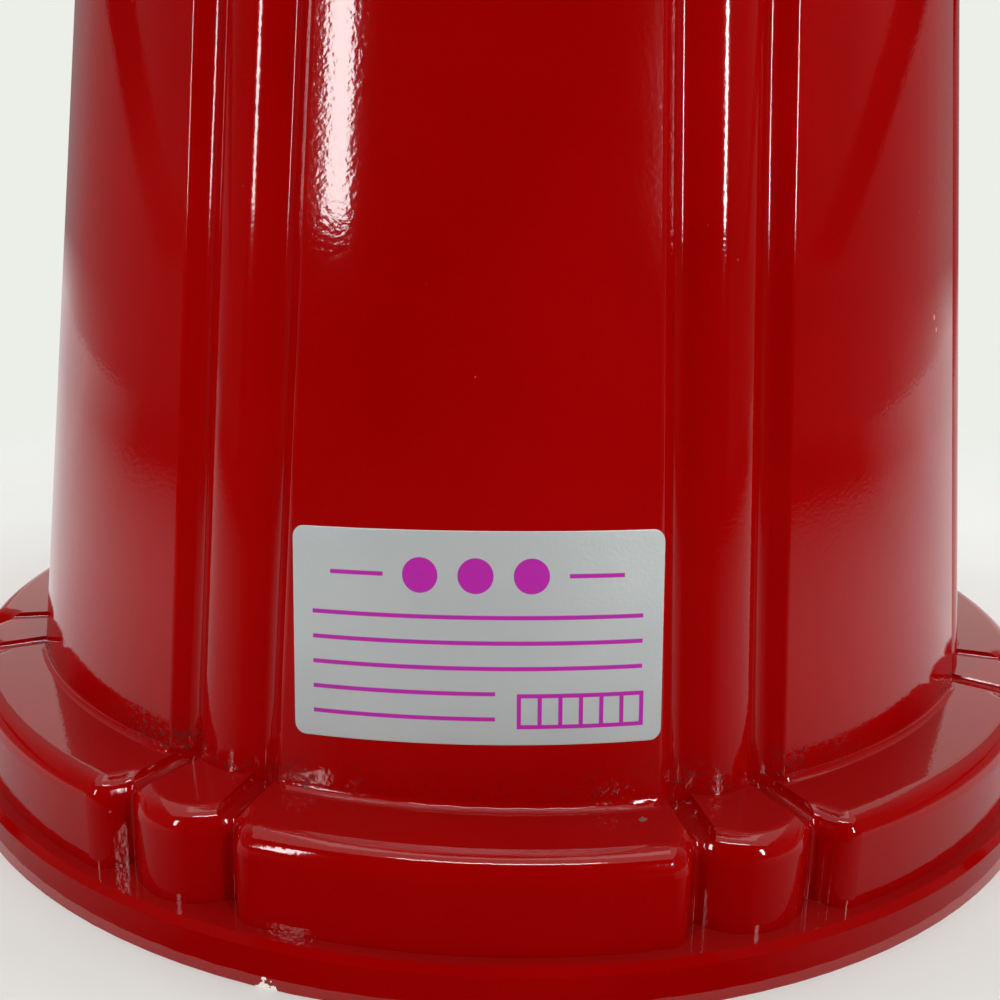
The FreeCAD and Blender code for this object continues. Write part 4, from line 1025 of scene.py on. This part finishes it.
    def round_shade(self, graph: Graph, place: bpy.types.Node) -> bpy.types.NodeSocket:
        """Return the floor's brightness in reflections, which grows round to the front and fades far off."""
        x, y = place.outputs["X"], place.outputs["Y"]
        turn = graph.math("ABSOLUTE", graph.math("ARCTAN2", x, y))
        bright = graph.ramp(turn, *map(math.radians, self.sheen_turn), self.black, self.sheen_most)
        away = graph.math("SQRT", graph.math("MULTIPLY_ADD", x, x, graph.math("MULTIPLY", y, y)))
        far = graph.ramp(away, *self.sheen_reach, 0.0, self.sheen_loss)
        beside = graph.ramp(turn, *map(math.radians, self.front_turn), 1.0, self.front_loss)
        kept = graph.math("SUBTRACT", 1.0, graph.math("MULTIPLY", far, beside))
        return graph.math("MULTIPLY", bright, kept)

    def cards(self) -> None:
        """Set up the cards round the machine."""
        quad = [(0, 1, 2, 3)]
        half, y, top = self.back_half, self.back_y, self.back_top
        self.card("dark_card", [(-half, y, 0.0), (half, y, 0.0), (half, y, top), (-half, y, top)],
                  quad, Shade.BLACK)
        steps = self.sheen_steps
        turns = [2 * math.pi * k / steps for k in range(steps)]
        ring = [(r * math.sin(t), r * math.cos(t), self.sheen_z) for r in self.sheen_radii for t in turns]
        ring_faces = [(k, steps + k, steps + (k + 1) % steps, (k + 1) % steps) for k in range(steps)]
        self.card("floor_sheen", ring, ring_faces, Shade.ROUND)
        front, rear = self.side_y
        low, high = self.side_z
        for x, seam in ((self.side_x, self.left_seam), (-self.side_x, self.right_seam)):
            self.card("side_card", [(x, front, low), (x, rear, low), (x, rear, high), (x, front, high)],
                      quad, Shade.SIDE)
            self.card("side_seam", [(self.seam_share * x, b, c) for b, c in seam], quad, Shade.BLACK)

    def build(self) -> None:
        """Build the whole studio."""
        self.world()
        self.floor()
        self.cards()
        for lamp in LAMPS:
            lamp.build()
        self.camera()
        bpy.context.scene.view_settings.view_transform = "Standard"


@dataclass
class Machine:
    """The whole gumball machine: CAD nodes with their finishes, and the pieces the scene adds."""

    base: BaseShape = field(default_factory=BaseShape)
    shaft_z: float = 100.2667
    mouth_z: float = 41.5
    plate_face_y: float = 72.5
    plate_screw_half: float = 20.0
    plate_head: tuple[float, float] = (2.8, 1.75)
    frame_face_y: float = 73.0
    frame_screw_half: float = 17.75
    frame_head: tuple[float, float] = (2.6, 1.55)

    def dress_nodes(self) -> dict[Slot, bpy.types.Material]:
        """Give every CAD node the material of its slot.

        Returns:
            The materials, by slot.
        """
        made = {slot: finish.build() for slot, finish in FINISHES.items()}
        for part in frame["record"]["subparts"]:
            node = frame["nodes"][part["node"]]
            node.data.materials.clear()
            node.data.materials.append(made[Slot(part["material_slot"])])
            log.info("dressed %s", part["node"])
        return made

    def build(self) -> None:
        """Dress the CAD nodes, then add the label and the front screws."""
        materials = self.dress_nodes()
        for piece in FoilLabel(self.base).build():
            log.info("added %s", piece.name)
        half = self.plate_screw_half
        plate = [(i * half, self.shaft_z + j * half) for i in (-1, 1) for j in (-1, 1)]
        chute = [(i * self.frame_screw_half, self.mouth_z) for i in (-1, 1)]
        groups = (
            SlottedScrews("plate_screw_heads", "plate_screws", plate, self.plate_face_y, *self.plate_head),
            SlottedScrews("frame_screw_heads", "frame_screws", chute, self.frame_face_y, *self.frame_head),
        )
        for screws in groups:
            log.info("added %s", screws.build(materials[Slot.STEEL]).name)


def main() -> None:
    """Build the machine and the studio in order."""
    logging.basicConfig(level=logging.INFO)
    Machine().build()
    Studio().build()


if __name__ == "__main__":
    main()
